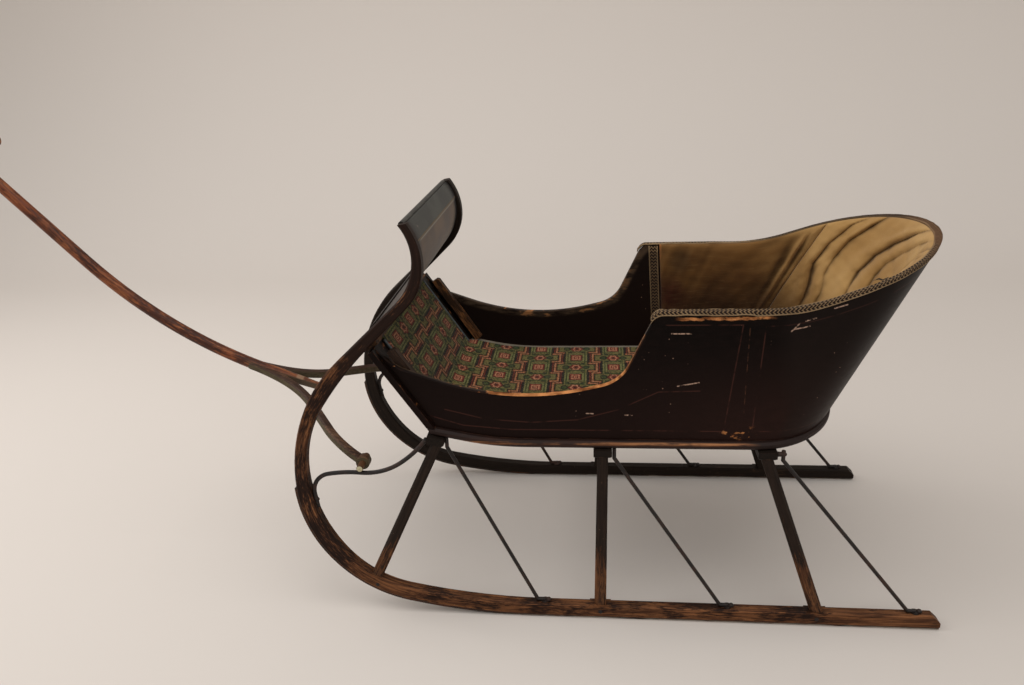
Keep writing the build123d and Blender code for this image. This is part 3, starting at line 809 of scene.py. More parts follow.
def dash_leather():
    """Old black dash leather: grey above the seam, partly painted sheen, browner below, black towards the
    stiles.
    """
    finish = Finish("dash_leather", Specular_IOR_Level=0.35)
    spot, _, y, z = finish.place()
    cloud = finish.noise(spot, 14.0)
    grain = finish.cells(spot, 900.0)
    above = z.ease(seam_height - 0.001, seam_height + 0.001)
    # The upper leather's grey is partly painted sheen.
    upper = finish.mix(cloud.ease(0.35, 0.7), (34, 36, 34), (64, 66, 61))
    lower = finish.mix(cloud.ease(0.35, 0.7), (64, 51, 41), (97, 80, 65))
    finish.colour = finish.mix(above, lower, upper)
    crease = z.near(seam_height + 0.0012, 0.0014, 0.0006)
    finish.coat(crease * 0.6, (150, 138, 120))
    half = 0.2112 - z * tan(lean)
    gap = half - abs(y)
    ragged = gap + (cloud - 0.5) * 0.012
    shade = ragged.ease(0.036, 0.01)
    finish.coat(shade, (17, 14, 14))
    foot = z.ease(0.54, 0.515)
    finish.coat(foot * 0.8, (30, 25, 23))
    scuffs = finish.noise(spot, 90.0, (1, 0.4, 1), detail=6.0).ease(0.66, 0.74)
    finish.coat(scuffs * 0.5, (128, 118, 106))
    finish.bump(grain + cloud * 0.5, 0.0003, 0.5)
    return finish.paint(cloud * 0.2 + 0.42)


def tear_line():
    """A short tear low on the back's lining, as strokes on its surface."""
    t = np.array([0.09, 0.05, 0.015, -0.02])
    share = np.array([0.570, 0.600, 0.606, 0.640])
    top = wall_top(t, 0.0074, 0.0008)
    places = stand(*wall(t, seat_top + share * (top - seat_top), 0.0145)).tolist()
    return list(zip(places[:-1], places[1:]))


def black_leather():
    """The dark rolled edge of the dashboard, cracked and a little rubbed."""
    finish = Finish("black_leather", Specular_IOR_Level=0.3)
    spot = finish.place()[0]
    cloud = finish.noise(spot, 40.0, detail=5.0)
    cracks = finish.cells(spot, 260.0, (1, 0.3, 1)).ease(0.1, 0.03)
    finish.colour = finish.mix(cloud.ease(0.35, 0.7), (34, 33, 31), (72, 70, 65))
    finish.coat(cracks * 0.5, (84, 70, 58))
    finish.bump(cloud - cracks, 0.0003, 0.6)
    return finish.paint(cloud * 0.3 + 0.35)


def lining_cloth():
    """Olive-gold woven lining: faded, with painted light and shade, shaded hollows, brown stains and a fine
    weave.
    """
    finish = Finish("lining_cloth", Roughness=0.9, Specular_IOR_Level=0.1, Sheen_Weight=0.12)
    spot, x, _, z = finish.place()
    cloth, u, v = finish.cloth()
    cloud = finish.noise(spot, 9.0, detail=5.0)
    blotch = finish.noise(spot, 26.0, detail=6.0)
    finish.colour = finish.mix(cloud.ease(0.3, 0.7), (150, 114, 66), (178, 142, 90))
    # Painted shade: the arms take a darker, shaded copy of the cloth's colour, and the back keeps the lit
    # one.
    behind = x.ease(mid + 0.24, mid + 0.4)
    arm = finish.mix(cloud.ease(0.35, 0.65), (78, 50, 24), (104, 72, 36))
    finish.colour = finish.mix(behind, arm, finish.colour)
    # Painted light: the arms' lining is lighter towards the rim.
    upper = z.ease(0.47, 0.515)
    finish.coat((1.0 - behind) * (upper * 0.5), (128, 92, 50))
    # Painted shade, blotchy: darker towards the bottom, and less so on the back.
    low = z.ease(0.49, 0.38)
    low_shade = low * (1.0 - behind * 0.75)
    finish.coat(low_shade * (blotch * 0.7 + 0.42), (32, 17, 8))
    front = x.ease(mid + 0.165, mid + 0.11)
    red = front * z.ease(0.485, 0.42) * blotch.ease(0.3, 0.55)
    finish.coat(red * 0.8, (52, 16, 9))
    dark = finish.vector("SUBTRACT", spot, (mid + 0.125, 0.0, 0.485))
    dark = finish.vector("MULTIPLY", dark, (1.0, 0.0, 0.8))
    dark = finish.vector("LENGTH", dark)
    finish.coat(dark.ease(0.03, 0.006) * 0.55, (44, 32, 20))
    # Painted shade in the hollows of the folds.
    hollow = finish.measure("hollow")
    finish.coat(hollow.ease(0.001, -0.0038) * 0.84, (56, 37, 16))
    tear = finish.strokes(spot, tear_line(), 0.0016, 0.0012)
    finish.coat(tear * blotch.ease(0.35, 0.45), (30, 18, 10))
    ravel = x.ease(mid + 0.092, mid + 0.0865) * blotch.ease(0.35, 0.5)
    finish.coat(ravel, (150, 96, 52))
    warp = finish.math("SINE", u * thread_turn)
    weft = finish.math("SINE", v * thread_turn)
    weave = warp * weft
    slub = finish.noise(cloth, 300.0, (0.1, 1.5, 1), detail=2.0)
    finish.coat(slub.ease(0.5, 0.8) * 0.05, (200, 172, 124))
    finish.bump(weave * 0.6 + slub * 0.5, 0.0003, 0.4)
    return finish.paint()


def cushion_cloth():
    """The seat's cloth, of the same stuff as the lining, woven on the object's own level axes."""
    finish = Finish("cushion_cloth", Roughness=0.9, Specular_IOR_Level=0.1, Sheen_Weight=0.12)
    spot, x, y, _ = finish.place()
    cloud = finish.noise(spot, 10.0, detail=5.0)
    finish.colour = finish.mix(cloud.ease(0.3, 0.7), (124, 92, 52), (162, 130, 82))
    middle = finish.vector("DISTANCE", spot, (mid + 0.17, 0.0, 0.39))
    finish.coat(middle.ease(0.17, 0.05) * 0.45, (104, 76, 46))
    warp = finish.math("SINE", x * thread_turn)
    weft = finish.math("SINE", y * thread_turn)
    slub = finish.noise(spot, 300.0, (0.1, 1.5, 1), detail=2.0)
    finish.coat(slub.ease(0.55, 0.8) * 0.16, (200, 172, 124))
    finish.bump(warp * weft * 0.5 + slub, 0.0003, 0.5)
    return finish.paint()


def gimp_braid():
    """Flat woven braid: four rows of slanting dark and pale stitches between two pale cords."""
    finish = Finish("gimp_braid", Roughness=0.85, Specular_IOR_Level=0.15)
    spot, x, y, z = finish.place()
    cloth, u, v = finish.cloth()
    zigzag = finish.math("PINGPONG", (v - 0.14) * (1 / 0.72), 1 / 4)
    uneven = finish.noise(cloth, 120.0, (1, 0.02, 1), detail=1.0) * 0.35
    step = u * (1 / 0.0058) + uneven + zigzag * 2.4
    stitch = finish.math("FRACT", step).near(0.5, 0.5, 0.12)
    cord = abs(v - 0.5).ease(0.36, 0.4)
    cloud = finish.noise(spot, 22.0, detail=4.0)
    pale = finish.mix(cloud, (88, 68, 48), (150, 124, 92))
    dark = finish.mix(cloud, (20, 14, 12), (40, 28, 22))
    finish.colour = finish.mix(stitch, pale, dark)
    finish.coat(cord, finish.mix(cloud, (96, 76, 54), (170, 144, 110)))
    rear = x.ease(mid + 0.42, mid + 0.47) * cloud.ease(0.3, 0.5)
    finish.coat(rear * 0.5, (92, 60, 38))
    grimy = y.ease(0.02, 0.08) * x.ease(mid + 0.22, mid + 0.3)
    finish.coat(grimy * 0.7, (44, 33, 25))
    down_arm = x.ease(mid + 0.098, mid + 0.095) * z.ease(0.505, 0.498)
    finish.coat(down_arm * 0.45, (34, 25, 20))
    fray = finish.noise(cloth, 900.0, (1, 0.02, 1), detail=2.0)
    height = stitch * -0.6 + fray * 0.5
    finish.bump(height + cord, 0.0006, 0.8)
    return finish.paint()


def carpet_cloth():
    """Flat-woven carpet: stepped dark columns, and between them rosettes and framed blocks in turn.

    The UV map is in metres, u along the carpet from the seat and v across the sleigh. A column
    stands every 69 mm. Between two columns a rosette and a block follow each other every 44 mm
    across the sleigh, and the next row has them the other way about. Each column steps 6.7 mm
    aside, away from the rosettes. Its bands go by the distance from the stepped line, measured as
    on squared paper, so that they turn the corners with it.
    """
    finish = Finish("carpet_cloth", Roughness=0.95, Specular_IOR_Level=0.08, Sheen_Weight=0.1)
    cloth, raw_u, raw_v = finish.cloth()
    jitter = finish.noise(cloth, 330.0, detail=1.0)
    shake = (jitter - 0.5) * 0.0032
    u, v = raw_u + shake, raw_v - shake
    pitch, turn, step = 0.069, 0.088, 0.0067

    place = (u - 0.044) * (1 / pitch)
    row = (v - 0.028) * (1 / turn)
    fraction = finish.math("FRACT", row + 0.5) - 0.5
    jog = abs(fraction) - 0.25
    phase = finish.math("SIGN", jog)
    column = finish.math("ROUND", place)
    odd_column = column % 2.0 * 2.0 - 1.0
    shift = phase * odd_column
    beside = (place - column) * pitch
    here = beside - shift * -step
    there = beside - shift * step
    side = finish.math("SIGN", here)
    away = abs(jog) * (0.75 * turn)
    beyond = finish.math("MAXIMUM", there * side, away)
    line = finish.math("MINIMUM", abs(here), beyond)
    outer = line * side * (shift * -1.0)

    odd_cell = finish.math("FLOOR", place) % 2.0
    a = abs((finish.math("FRACT", place) - 0.5) * pitch)
    of_cell = row + odd_cell * 0.5
    b = (finish.math("FRACT", of_cell + 0.5) - 0.5) * turn
    rose = abs(b)
    block = abs(rose - turn / 2)

    def oval(middle, radii):
        """Distance from a place beside a rosette, in units of an oval's radii."""
        da = (a - middle[0]) * (1 / radii[0])
        db = (rose - middle[1]) * (1 / radii[1])
        return finish.math("SQRT", da * da + db * db)

    def frame_of(wide, high):
        """A measure that is 1 on a block's frame of these half sizes."""
        return finish.math("MAXIMUM", a * (1 / wide), block * (1 / high))

    angle = finish.math("ARCTAN2", rose * 0.65, a)
    petals = finish.math("COSINE", angle * 6.0) * 0.13 + 1.0
    bloom = oval((0, 0), (0.01, 0.016)) / petals

    patch = finish.noise(cloth, 24.0, detail=3.0)
    ground = finish.mix(patch, (98, 92, 48), (144, 132, 74))
    speck = finish.noise(cloth, 500.0, detail=1.0).ease(0.5, 0.7)
    finish.colour = finish.mix(speck * 0.4, ground, (62, 70, 38))
    red, wine, pink, buff = (128, 38, 27), (46, 15, 12), (204, 142, 106), (164, 98, 54)
    green, leaf, sage, black = (18, 31, 18), (56, 76, 34), (136, 134, 80), (7, 6, 5)
    layers = [
        (oval((0.0185, 0), (0.0066, 0.0088)).ease(1.08, 0.95), green),
        (oval((0.0185, 0), (0.004, 0.0048)).ease(1.15, 0.9), leaf),
        (oval((0.012, 0.017), (0.0034, 0.0044)).ease(1.1, 0.9), green),
        (bloom.ease(1.2, 1.12), wine),
        (bloom.ease(1.03, 0.97), red),
        (bloom.near(0.6, 0.18, 0.06), pink),
        (bloom.ease(0.28, 0.2), wine),
        (frame_of(0.0218, 0.018).ease(1.01, 0.98), green),
        (frame_of(0.02, 0.0164).ease(1.01, 0.98), sage),
        (frame_of(0.016, 0.03).near(1.0, 0.12, 0.03), leaf),
        (frame_of(0.0118, 0.014).ease(1.02, 0.98), wine),
        (frame_of(0.0102, 0.0124).ease(1.02, 0.98), red),
        (frame_of(0.0064, 0.008).near(1.0, 0.28, 0.08), pink),
        (frame_of(0.002, 0.003).near(1.0, 0.6, 0.2), pink),
        (line.ease(0.0079, 0.0073), black),
        (outer.near(0.0016, 0.0014, 0.0004), red),
        (outer.near(-0.003, 0.0036, 0.0004), buff),
        (outer.near(-0.0026, 0.001, 0.0004), pink),
        (outer.near(-0.0068, 0.0012, 0.0004), green),
    ]
    for share, tone in layers:
        finish.coat(share, tone)
    knot_u = finish.math("FLOOR", raw_u * (1 / 0.0019))
    knot_v = finish.math("FLOOR", raw_v * (1 / 0.0015))
    knot = finish.value("CombineXYZ", knot_u, knot_v, 0.0)
    knot = finish.value("TexWhiteNoise", knot, output="Value", noise_dimensions="2D")
    finish.coat(knot.ease(0.55, 1.0) * 0.8, (16, 11, 8))
    finish.coat(knot.ease(0.3, 0.0) * 0.3, (150, 124, 84))
    dust = finish.noise(cloth, 14.0, detail=5.0).ease(0.42, 0.75)
    finish.coat(dust * 0.14, (84, 64, 36))
    toe = raw_u.ease(0.335, 0.4) * 0.3
    finish.coat(toe + 0.14, (10, 6, 3))
    rib = finish.math("SINE", raw_v * (2 * pi / 0.0026))
    pick = finish.math("SINE", raw_u * (2 * pi / 0.0018))
    finish.bump(rib * 0.6 + (pick * 0.3 + jitter), 0.0006, 0.7)
    return finish.paint()


def strip_metal():
    """A dull zinc strip that edges the carpet on the toe."""
    finish = Finish("strip_metal", Metallic=0.6)
    spot = finish.place()[0]
    cloud = finish.noise(spot, 60.0, detail=5.0)
    finish.colour = finish.mix(cloud, (52, 58, 62), (96, 102, 104))
    finish.bump(cloud, 0.0003, 0.5)
    return finish.paint(cloud * 0.3 + 0.4)


# Materials onto the frame's own nodes
paint_body = body_paint("body_paint", True)
paint_inner = body_paint("body_paint_inner", False)
paint_floor = floor_paint()
runner_wood = old_wood("runner_wood", (27, 17, 13), (66, 40, 26), (134, 88, 56), 0.42, low=0.10, high=0.42)
quiet_wood = old_wood("runner_wood_dark", (25, 19, 15), (48, 35, 26), (84, 60, 42), 0.30)
post_wood = old_wood("post_wood", (29, 22, 18), (68, 42, 28), (118, 78, 50), 0.30, low=0.13, extra=0.24)
bar_wood = old_wood("bar_wood", (22, 17, 14), (48, 33, 25), (84, 58, 42), 0.28)
toe_wood = old_wood("toe_wood", (40, 29, 22), (84, 56, 36), (158, 106, 64), 0.52)
pole_wood = old_wood(
    "pole_wood", (50, 27, 19), (104, 52, 30), (158, 96, 56), 0.50, 0.34, 0.2,
    flank=(84, 74, 58), flank_from=-0.655, band=-0.5655,
)
fork_wood = old_wood(
    "fork_wood", (46, 31, 24), (84, 58, 44), (122, 92, 68), 0.42, 0.4, 0.12,
    flank=(92, 82, 62), flank_from=no_limit,
)
cleat_wood = old_wood("cleat_wood", (34, 25, 20), (70, 48, 35), (108, 76, 52), 0.42)
seat_wood = old_wood("seat_wood", (96, 70, 46), (150, 112, 72), (186, 148, 104), 0.55, 0.6)
iron = rod_iron()
steel = shoe_steel()
leather = dash_leather()
cap_leather = black_leather()
lining = lining_cloth()
braid_cloth = gimp_braid()
zinc = strip_metal()

pole_line = trace(
    (dowel_x, dowel_z),
    [
        ("run", dowel_x - 0.215 * cos(radians(20)), dowel_z + 0.215 * sin(radians(20))),
        ("bend", dowel_x - 0.5230, dowel_z + 0.2900),
        ("run", dowel_x - 0.7035, dowel_z + 0.4905),
    ],
)
sides = ("left", "right")
node_paint = {
    "side_panel": paint_body,
    "runner": runner_wood,
    "post_front": post_wood,
    "post_middle": post_wood,
    "post_rear": post_wood,
    "stay_front": iron,
    "stay_middle": iron,
    "stay_rear": iron,
    "scroll_brace": iron,
    "runner_shoe": steel,
    "toe_cleat": toe_wood,
    "tongue_arm": fork_wood,
}
node_materials = {f"{name}_{side}": paint for name, paint in node_paint.items() for side in sides}
node_materials.update(
    {
        "back_shell": paint_body,
        "toe_board": paint_inner,
        "seat_riser": paint_inner,
        "floor_board": paint_floor,
        "seat_board": seat_wood,
        "cross_bar_front": bar_wood,
        "cross_bar_middle": bar_wood,
        "cross_bar_rear": bar_wood,
        "dash_panel": leather,
        "dash_cap": cap_leather,
        "dash_rail": bar_wood,
        "toe_rail": toe_wood,
        "toe_cleat_left": cleat_wood,
        "runner_right": quiet_wood,
        "post_front_right": quiet_wood,
        "post_middle_right": quiet_wood,
        "post_rear_right": quiet_wood,
        "tongue_pole": pole_wood,
        "tongue_grip": pole_wood,
    }
)
wooden = (runner_wood, quiet_wood, post_wood, bar_wood, toe_wood, pole_wood, fork_wood, seat_wood, cleat_wood)
for count, (name, paint) in enumerate(node_materials.items()):
    cover(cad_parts[name], paint)
    if paint not in wooden:
        continue
    if name.startswith("runner_"):
        bent_grain(name, trace(runner_start, runner_line), (0.3 * count, 0, 0))
    elif name in ("tongue_pole", "tongue_arm_left", "tongue_arm_right"):
        bent_grain(name, pole_line, (0.3 * count, 0, 0))
    else:
        straight_grain(name, (0.3 * count, 0.1 * count, 0))


# Upholstery


def lining_pad(name, start, end, columns, rows, depth, folds, nodes):
    """A padded lining on the wall from t = start to t = end, from the seat board to the rim.

    Each column is one closed loop: up the front face, over the top, down the back face at the wall.
    The front face stands off the wall by depth, less towards its four borders as a quarter circle,
    and by the folds on top. start and end may be functions of the share of the height.
    """
    share = np.linspace(0, 1, rows)[None, :]
    along = np.linspace(0, 1, columns)[:, None]
    t = start(share) + along * (end(share) - start(share))
    back_inset = wall_thickness(t, 0.96, 0.999) + 0.0004
    face_inset = wall_thickness(t, 0.80, 1.10) + 0.0006
    top = wall_top(t, back_inset, 0.0008)
    height = seat_top + 0.0005 + share * (top - seat_top - 0.0005)
    thin, rounding = 0.0016, 0.016  # the cloth's thickness at the borders, and their rounding
    length = 0.30 * np.abs(end(share) - start(share))
    border = np.minimum(np.minimum(along, 1 - along) * length, np.minimum(share, 1 - share) * 0.18)
    soft = np.sqrt(np.clip(1 - (1 - np.clip(border / rounding, 0, 1)) ** 2, 0, 1))
    raised = folds(t, share)
    front_inset = face_inset + thin + soft * (depth - thin) + soft * raised
    front_inset = np.maximum(front_inset, back_inset + 0.0010)
    front = stand(*wall(t, height, front_inset))
    back = stand(*wall(t, height, back_inset))
    grid = close_ends(slab(front, back))
    hollow = double_ends(slab(raised, 0 * raised))
    piece = surface(name, grid, plain_uv(grid), hollow)
    dress(piece, lining, "upholstery", *nodes)


# Each hollow of the back's lining: t at these shares of the height, its depth and the fold's width
fold_lines = [
    ((0.0, 0.3, 0.45, 0.62, 0.8, 0.95, 1.0), (0.40, 0.43, 0.470, 0.510, 0.490, 0.44, 0.37), 1.0, 0.060),
    ((0.0, 0.36, 0.52, 0.66, 0.82, 0.92, 1.0), (0.33, 0.36, 0.400, 0.410, 0.390, 0.33, 0.27), 0.8, 0.045),
    ((0.0, 0.45, 0.58, 0.72, 0.83, 0.93, 1.0), (0.20, 0.21, 0.225, 0.190, 0.120, 0.01, -0.08), 0.8, 0.075),
    ((0.0, 0.40, 0.60, 0.70, 0.80, 0.90, 1.0), (0.07, 0.09, 0.110, 0.080, 0.010, -0.09, -0.22), 0.7, 0.070),
    ((0.0, 0.40, 0.60, 0.75, 0.90, 1.0), (-0.09, -0.08, -0.06, -0.11, -0.21, -0.31), 0.7, -0.055),
    ((0.0, 0.35, 0.60, 0.80, 1.0), (-0.22, -0.24, -0.25, -0.29, -0.36), 0.6, -0.060),
    ((0.0, 0.36, 0.52, 0.66, 0.82, 1.0), (-0.34, -0.36, -0.400, -0.410, -0.420, -0.43), 0.8, -0.045),
    ((0.0, 0.31, 0.47, 0.66, 0.82, 1.0), (-0.42, -0.44, -0.470, -0.505, -0.500, -0.50), 1.0, -0.060),
]


def back_folds(t, share):
    """The back lining's hanging folds, added up over their hollows.

    Across each hollow the height falls as a narrow exponential on both sides, and on the side away
    from the back's middle stands the fold's own soft roll, a Gauss bell as wide as the fold. Each
    hollow wanders a little and dies out towards the seat board. The sum is eased by fine slack.
    """
    total = 0.0012 + 0 * t
    for count, (heights, places, depth, width) in enumerate(fold_lines):
        line = np.interp(share, heights, places)
        line = line + wave(share, (0.004, 1.7, 1.3 * count), (0.002, 4.1, 0.7 * count))
        away = t - line
        across = away / width
        size = depth * (0.75 + 0.25 * np.sin(5.1 * share + 2.0 * count))
        fade = ease(share, 0.0, 0.45) * (1 - 0.25 * ease(share, 0.93, 1.0))
        hollow = -0.0050 * np.exp(-np.where(across > 0, np.abs(away) / 0.006, np.abs(away) / 0.016))
        shoulder = -0.0026 * bell(away, 0, 0.030)
        roll = 0.0090 * np.clip(across, 0, 1) ** 0.5 * np.exp(-((np.clip(across, 0, None) / 1.05) ** 3))
        total = total + size * fade * (hollow + shoulder + roll)
    slack = wave(t + 0.5 * share, (0.00045, 5.1, 0.2), (0.00025, 11.3, 1.0))
    slack = slack + wave(share - 0.7 * t, (0.00035, 6.3, 2.0), (0.0002, 13.7, 0.6))
    return total + slack * ease(share, 0.0, 0.3)


def arm_folds(t, share):
    """Two soft hollows beside the back seam and slack ripples below the rim.

    Each hollow is a Gauss bell across a slanting line, and the seam's own edge is drawn in.
    """
    away = np.abs(t)
    first = -0.0036 * bell(away, 0.675 + 0.05 * share, 0.020) * ease(share, 0.05, 0.4)
    second = -0.0030 * bell(away, 0.618 + 0.035 * share, 0.012) * ease(share, 0.1, 0.5)
    swell = 0.0030 * bell(away, 0.645 + 0.04 * share, 0.014)
    slack = wave(away + 0.4 * share, (0.0006, 4.0, 0.3), (0.0003, 9.0, 1.0))
    slack = slack + wave(share - 0.3 * away, (0.0004, 3.3, 1.0), (0.0002, 8.1, 0.6))
    return (first + second + swell) * ease(1 - share, 0.0, 0.2) + slack


def seam(side):
    """Where the back's lining meets an arm's, as t by share of the height."""
    return lambda share: side * (0.585 + 0.012 * np.sin(pi * share))


def arm_front(side):
    """Front edge of an arm's lining: it slants back towards the seat."""
    return lambda share: side * side_t(0.0865 + 0.007 * np.sin(pi * (1 - share) / 2))


def crowned_cushion(node):
    """The seat cushion: the node's shape shrunk, then swollen by cloth under pressure.

    How far a point may move is capped, most at the middle of its top and least where the cushion
    touches the board and the linings.
    """
    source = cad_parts[node].data
    piece = new_object("seat_cushion_cloth", source.copy())
    bpy.context.view_layer.objects.active = piece
    low, high = (np.array(corner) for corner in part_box(node))
    remesh = piece.modifiers.new("even", "REMESH")
    remesh.mode = "VOXEL"
    remesh.voxel_size = 0.0055
    apply_modifiers(piece)
    rest = read_points(piece.data)
    centre = (low + high) / 2
    rest[:, :2] = centre[:2] + (rest[:, :2] - centre[:2]) * (1 - 0.008 / ((high - low)[:2] / 2))
    rest[:, 2] = low[2] + 0.0008 + (rest[:, 2] - low[2]) * 0.78
    piece.data.vertices.foreach_set("co", rest.ravel())
    cloth = piece.modifiers.new("stuffing", "CLOTH")
    settings = cloth.settings
    settings.use_pressure = True
    settings.uniform_pressure_force = 4.0
    settings.effector_weights.gravity = 0.0
    settings.tension_stiffness = settings.compression_stiffness = 12.0
    settings.bending_stiffness = 0.6
    for number in range(1, 21):
        bpy.context.scene.frame_set(number)
    apply_modifiers(piece)
    bpy.context.scene.frame_set(1)
    move = read_points(piece.data) - rest
    length = np.linalg.norm(move, axis=1, keepdims=True)
    inside = np.clip(np.minimum(rest - low, high - rest)[:, :2] / 0.06, 0, 1).prod(axis=1)
    cap = (0.003 + 0.007 * inside)[:, None]
    moved = rest + move * np.minimum(1, cap / np.maximum(length, 1e-9))
    moved[:, 0] = np.clip(moved[:, 0], low[0] + 0.0003, high[0])
    moved[:, 2] = np.maximum(moved[:, 2], low[2] + 0.0003)
    hollow = 0.004 * bell(moved[:, 0], centre[0], 0.07) * bell(moved[:, 1], 0, 0.09)
    moved[:, 2] -= hollow * (moved[:, 2] > centre[2])
    piece.data.vertices.foreach_set("co", moved.ravel())
    smooth = piece.modifiers.new("even", "SMOOTH")
    smooth.iterations = 4
    finer = piece.modifiers.new("finer", "SUBSURF")
    finer.levels = finer.render_levels = 1
    apply_modifiers(piece)
    piece.data.polygons.foreach_set("use_smooth", np.ones(len(piece.data.polygons), dtype=bool))
    dress(piece, cushion_cloth(), "upholstery", node)


def apply_modifiers(piece):
    """Make the mesh that the modifiers give the piece's own, and drop them."""
    ready = piece.evaluated_get(bpy.context.evaluated_depsgraph_get())
    mesh = bpy.data.meshes.new_from_object(ready)
    piece.modifiers.clear()
    piece.data = mesh


lining_pad("back_lining", seam(-1), seam(1), 420, 90, 0.0065, back_folds, ["back_pad"])
lining_pad("arm_lining_left", arm_front(-1), seam(-1), 150, 60, 0.0060, arm_folds, ["arm_pad_left"])
lining_pad("arm_lining_right", seam(1), arm_front(1), 150, 60, 0.0060, arm_folds, ["arm_pad_right"])
crowned_cushion("seat_cushion")


# Braid


def ribbon(name, base, lift, along):
    """A flat braid: a strip with a thicker cord at each edge, laid on a surface.

    base and lift are grids of places on the surface and directions away from it, the rows across
    the strip. The top stands off by its thickness, and the strip is closed round its back.
    """
    rows = base.shape[1]
    share = np.linspace(0, 1, rows)
    cords = bell(share, 0.07, 0.055) + bell(share, 0.93, 0.055)
    thick = 0.0009 + 0.0009 * cords
    top = base + lift * thick[None, :, None]
    back = base + lift * 0.0001
    v = np.concatenate([share, share[::-1], share[:1]])
    uv = np.stack(np.broadcast_arrays(double_ends(along)[:, None], v[None, :]), axis=-1)
    piece = surface(name, close_ends(slab(top, back)), uv)
    dress(piece, braid_cloth, "upholstery")


def rim_braid():
    """Braid along the whole rim: from the inner edge over the top, then down the outside.

    Across the strip q runs from just inside the wall's inner top edge, over the top and down the
    outer face. On the arms the strip ends by drooping round the rim's rounded front corner.
    """
    columns, rows = 900, 17
    rounding = 0.032  # radius of the front corners
    t = np.linspace(-side_t(0.046), side_t(0.046), columns)[:, None]
    wander = wave(t, (0.0005, 2.3, 0.5), (0.0003, 7.0, 1.0))
    begin = -0.0014 + wander
    q = begin + np.linspace(0, braid_width, rows)[None, :]
    thickness = wall_thickness(t, 0.98, 1.0)
    over = np.clip(q, 0, thickness)
    down = np.maximum(q - thickness, 0) + np.maximum(-q, 0)
    t = t + 0 * q
    rim = wall_top(t, thickness - over, 0.0)
    corner = np.maximum(np.abs(t) - side_t(0.062), 0) * joint_x
    droop = rounding - np.sqrt(np.maximum(rounding**2 - (corner * 1.6) ** 2, 0))
    height = rim - down - droop
    base = stand(*wall(t, height, thickness - over))
    outward = unit(stand(*wall(t, height, thickness - over - 0.001)) - base)
    tilt = (ease(q, thickness - 0.0022, thickness + 0.0022) - ease(-q, -0.0015, 0.0012)) * pi / 2
    lift = np.sin(tilt)[..., None] * outward + np.cos(tilt)[..., None] * np.array((0, 0, 1.0))
    ribbon("rim_braid", base, lift, run_length(base[:, rows // 2]))


def arm_braid(side):
    """Braid down an arm's inner face, just in front of the lining: a flat strip that leans forward
    a little on its way up.
    """
    columns, rows = 60, 13
    down = np.linspace(0, 1, columns)[:, None]
    share = np.linspace(0, 1, rows)[None, :]
    z = rim_height - 0.004 - down * (rim_height - 0.004 - seat_top - 0.006)
    x = 0.0665 + 0.0085 * down + share * 0.0170
    base = stand(x, side * (side_half - side_wall - 0.0002), z)
    lift = np.broadcast_to(np.array((0.0, -side, 0.0)), base.shape)
    ribbon(f"arm_braid_{'left' if side < 0 else 'right'}", base, lift, down[:, 0] * 0.14)


rim_braid()
arm_braid(-1)
arm_braid(1)


# Carpet


def carpet_sheet():
    """The carpet, from the seat forward along the floor, up its bend and up the toe board.

    Its side view is drawn by its heading: level, then turning 12 degrees on the floor's bend, then
    57 degrees in the corner. Summing the headings gives the line. It is narrower on the toe.
    """
    turns_at = [0, 0.2227, 0.3144, 0.3520, 0.3680, 0.5140]
    headings = [0, 0, floor_slope, floor_slope, toe_slope, toe_slope]
    length, corner = turns_at[-1], turns_at[3]
    half, toe_half = 0.168, 0.150
    thickness = 0.0024
    s = np.linspace(0, length, 520)
    slope = np.interp(s, turns_at, headings)
    gap = s[1] - s[0]
    x = (0.0795 - sums(np.cos(slope[:-1])) * gap)[:, None]
    z = (floor_top + 0.0006 + sums(np.sin(slope[:-1])) * gap)[:, None]
    s, slope = s[:, None], slope[:, None]
    share = np.linspace(-1, 1, 160)[None, :]
    edge = wave(s, (0.0007, 9.0, 0.4), (0.0004, 23.0, 1.0))
    y = share * (half - (half - toe_half) * ease(s, 0.345, 0.375) + edge)
    lift = 0.0006 * wave(s + 0.3 * share, (0.5, 6.0, 0.2), (0.3, 13.0, 1.2)) + 0.0005
    under = lift + 0.0008 * np.clip(np.abs(share) - 0.93, 0, 1) / 0.07
    top, bottom = (stand(x + d * np.sin(slope), y, z + d * np.cos(slope)) for d in (under + thickness, under))
    v = double_ends(np.concatenate([y, y[:, ::-1], y[:, :1]], axis=1))
    uv = np.stack(np.broadcast_arrays(double_ends(s), v), axis=-1)
    piece = surface("carpet_cloth", close_ends(slab(top, bottom)), uv)
    dress(piece, carpet_cloth(), "carpet", "carpet")


carpet_sheet()


# Dashboard seam, carpet strips, fasteners


def leaning_point(x, z, side, out=0.0):
    """A place in a runner's leaning plane, out from its middle, for one side."""
    y = track_half - z * sin(lean) + out
    return (x + mid, side * y, z * cos(lean))


def dash_half(z):
    """Half the dashboard's clear width at a height."""
    return track_half - z * tan(lean) - 0.0095 / cos(lean)


def dash_curve(count):
    """The dashboard panel's line in the side view, and the directions square to it."""
    curve = trace(dash_start, dash_line, count)
    way = unit(np.gradient(curve, axis=0))
    return curve, np.stack([way[:, 1], -way[:, 0]], axis=1)


def dash_lap():
    """The upper leather: a sheet over the panel's back face from the seam to the top.

    It follows the panel's line at the panel's thickness, and its lower edge thins out by an
    exponential over a few points, where it is lapped over the lower leather.
    """
    curve, normal = dash_curve(60)
    inner = curve + normal * (dash_thickness + 0.0002)
    kept = inner[:, 1] > seam_height - 0.002
    upper, normal = inner[kept], normal[kept]
    thick = (0.0011 * (1 - 0.5 * np.exp(-np.arange(len(upper)) / 1.2)))[:, None]
    y = np.linspace(-1, 1, 60)[None, :] * (dash_half(upper[:, 1])[:, None] - 0.0006)
    high, low = (stand(line[:, :1], y, line[:, 1:]) for line in (upper + thick * normal, upper))
    lap = surface("dash_lap", close_ends(slab(high, low)))
    dress(lap, leather, "dash_leather")


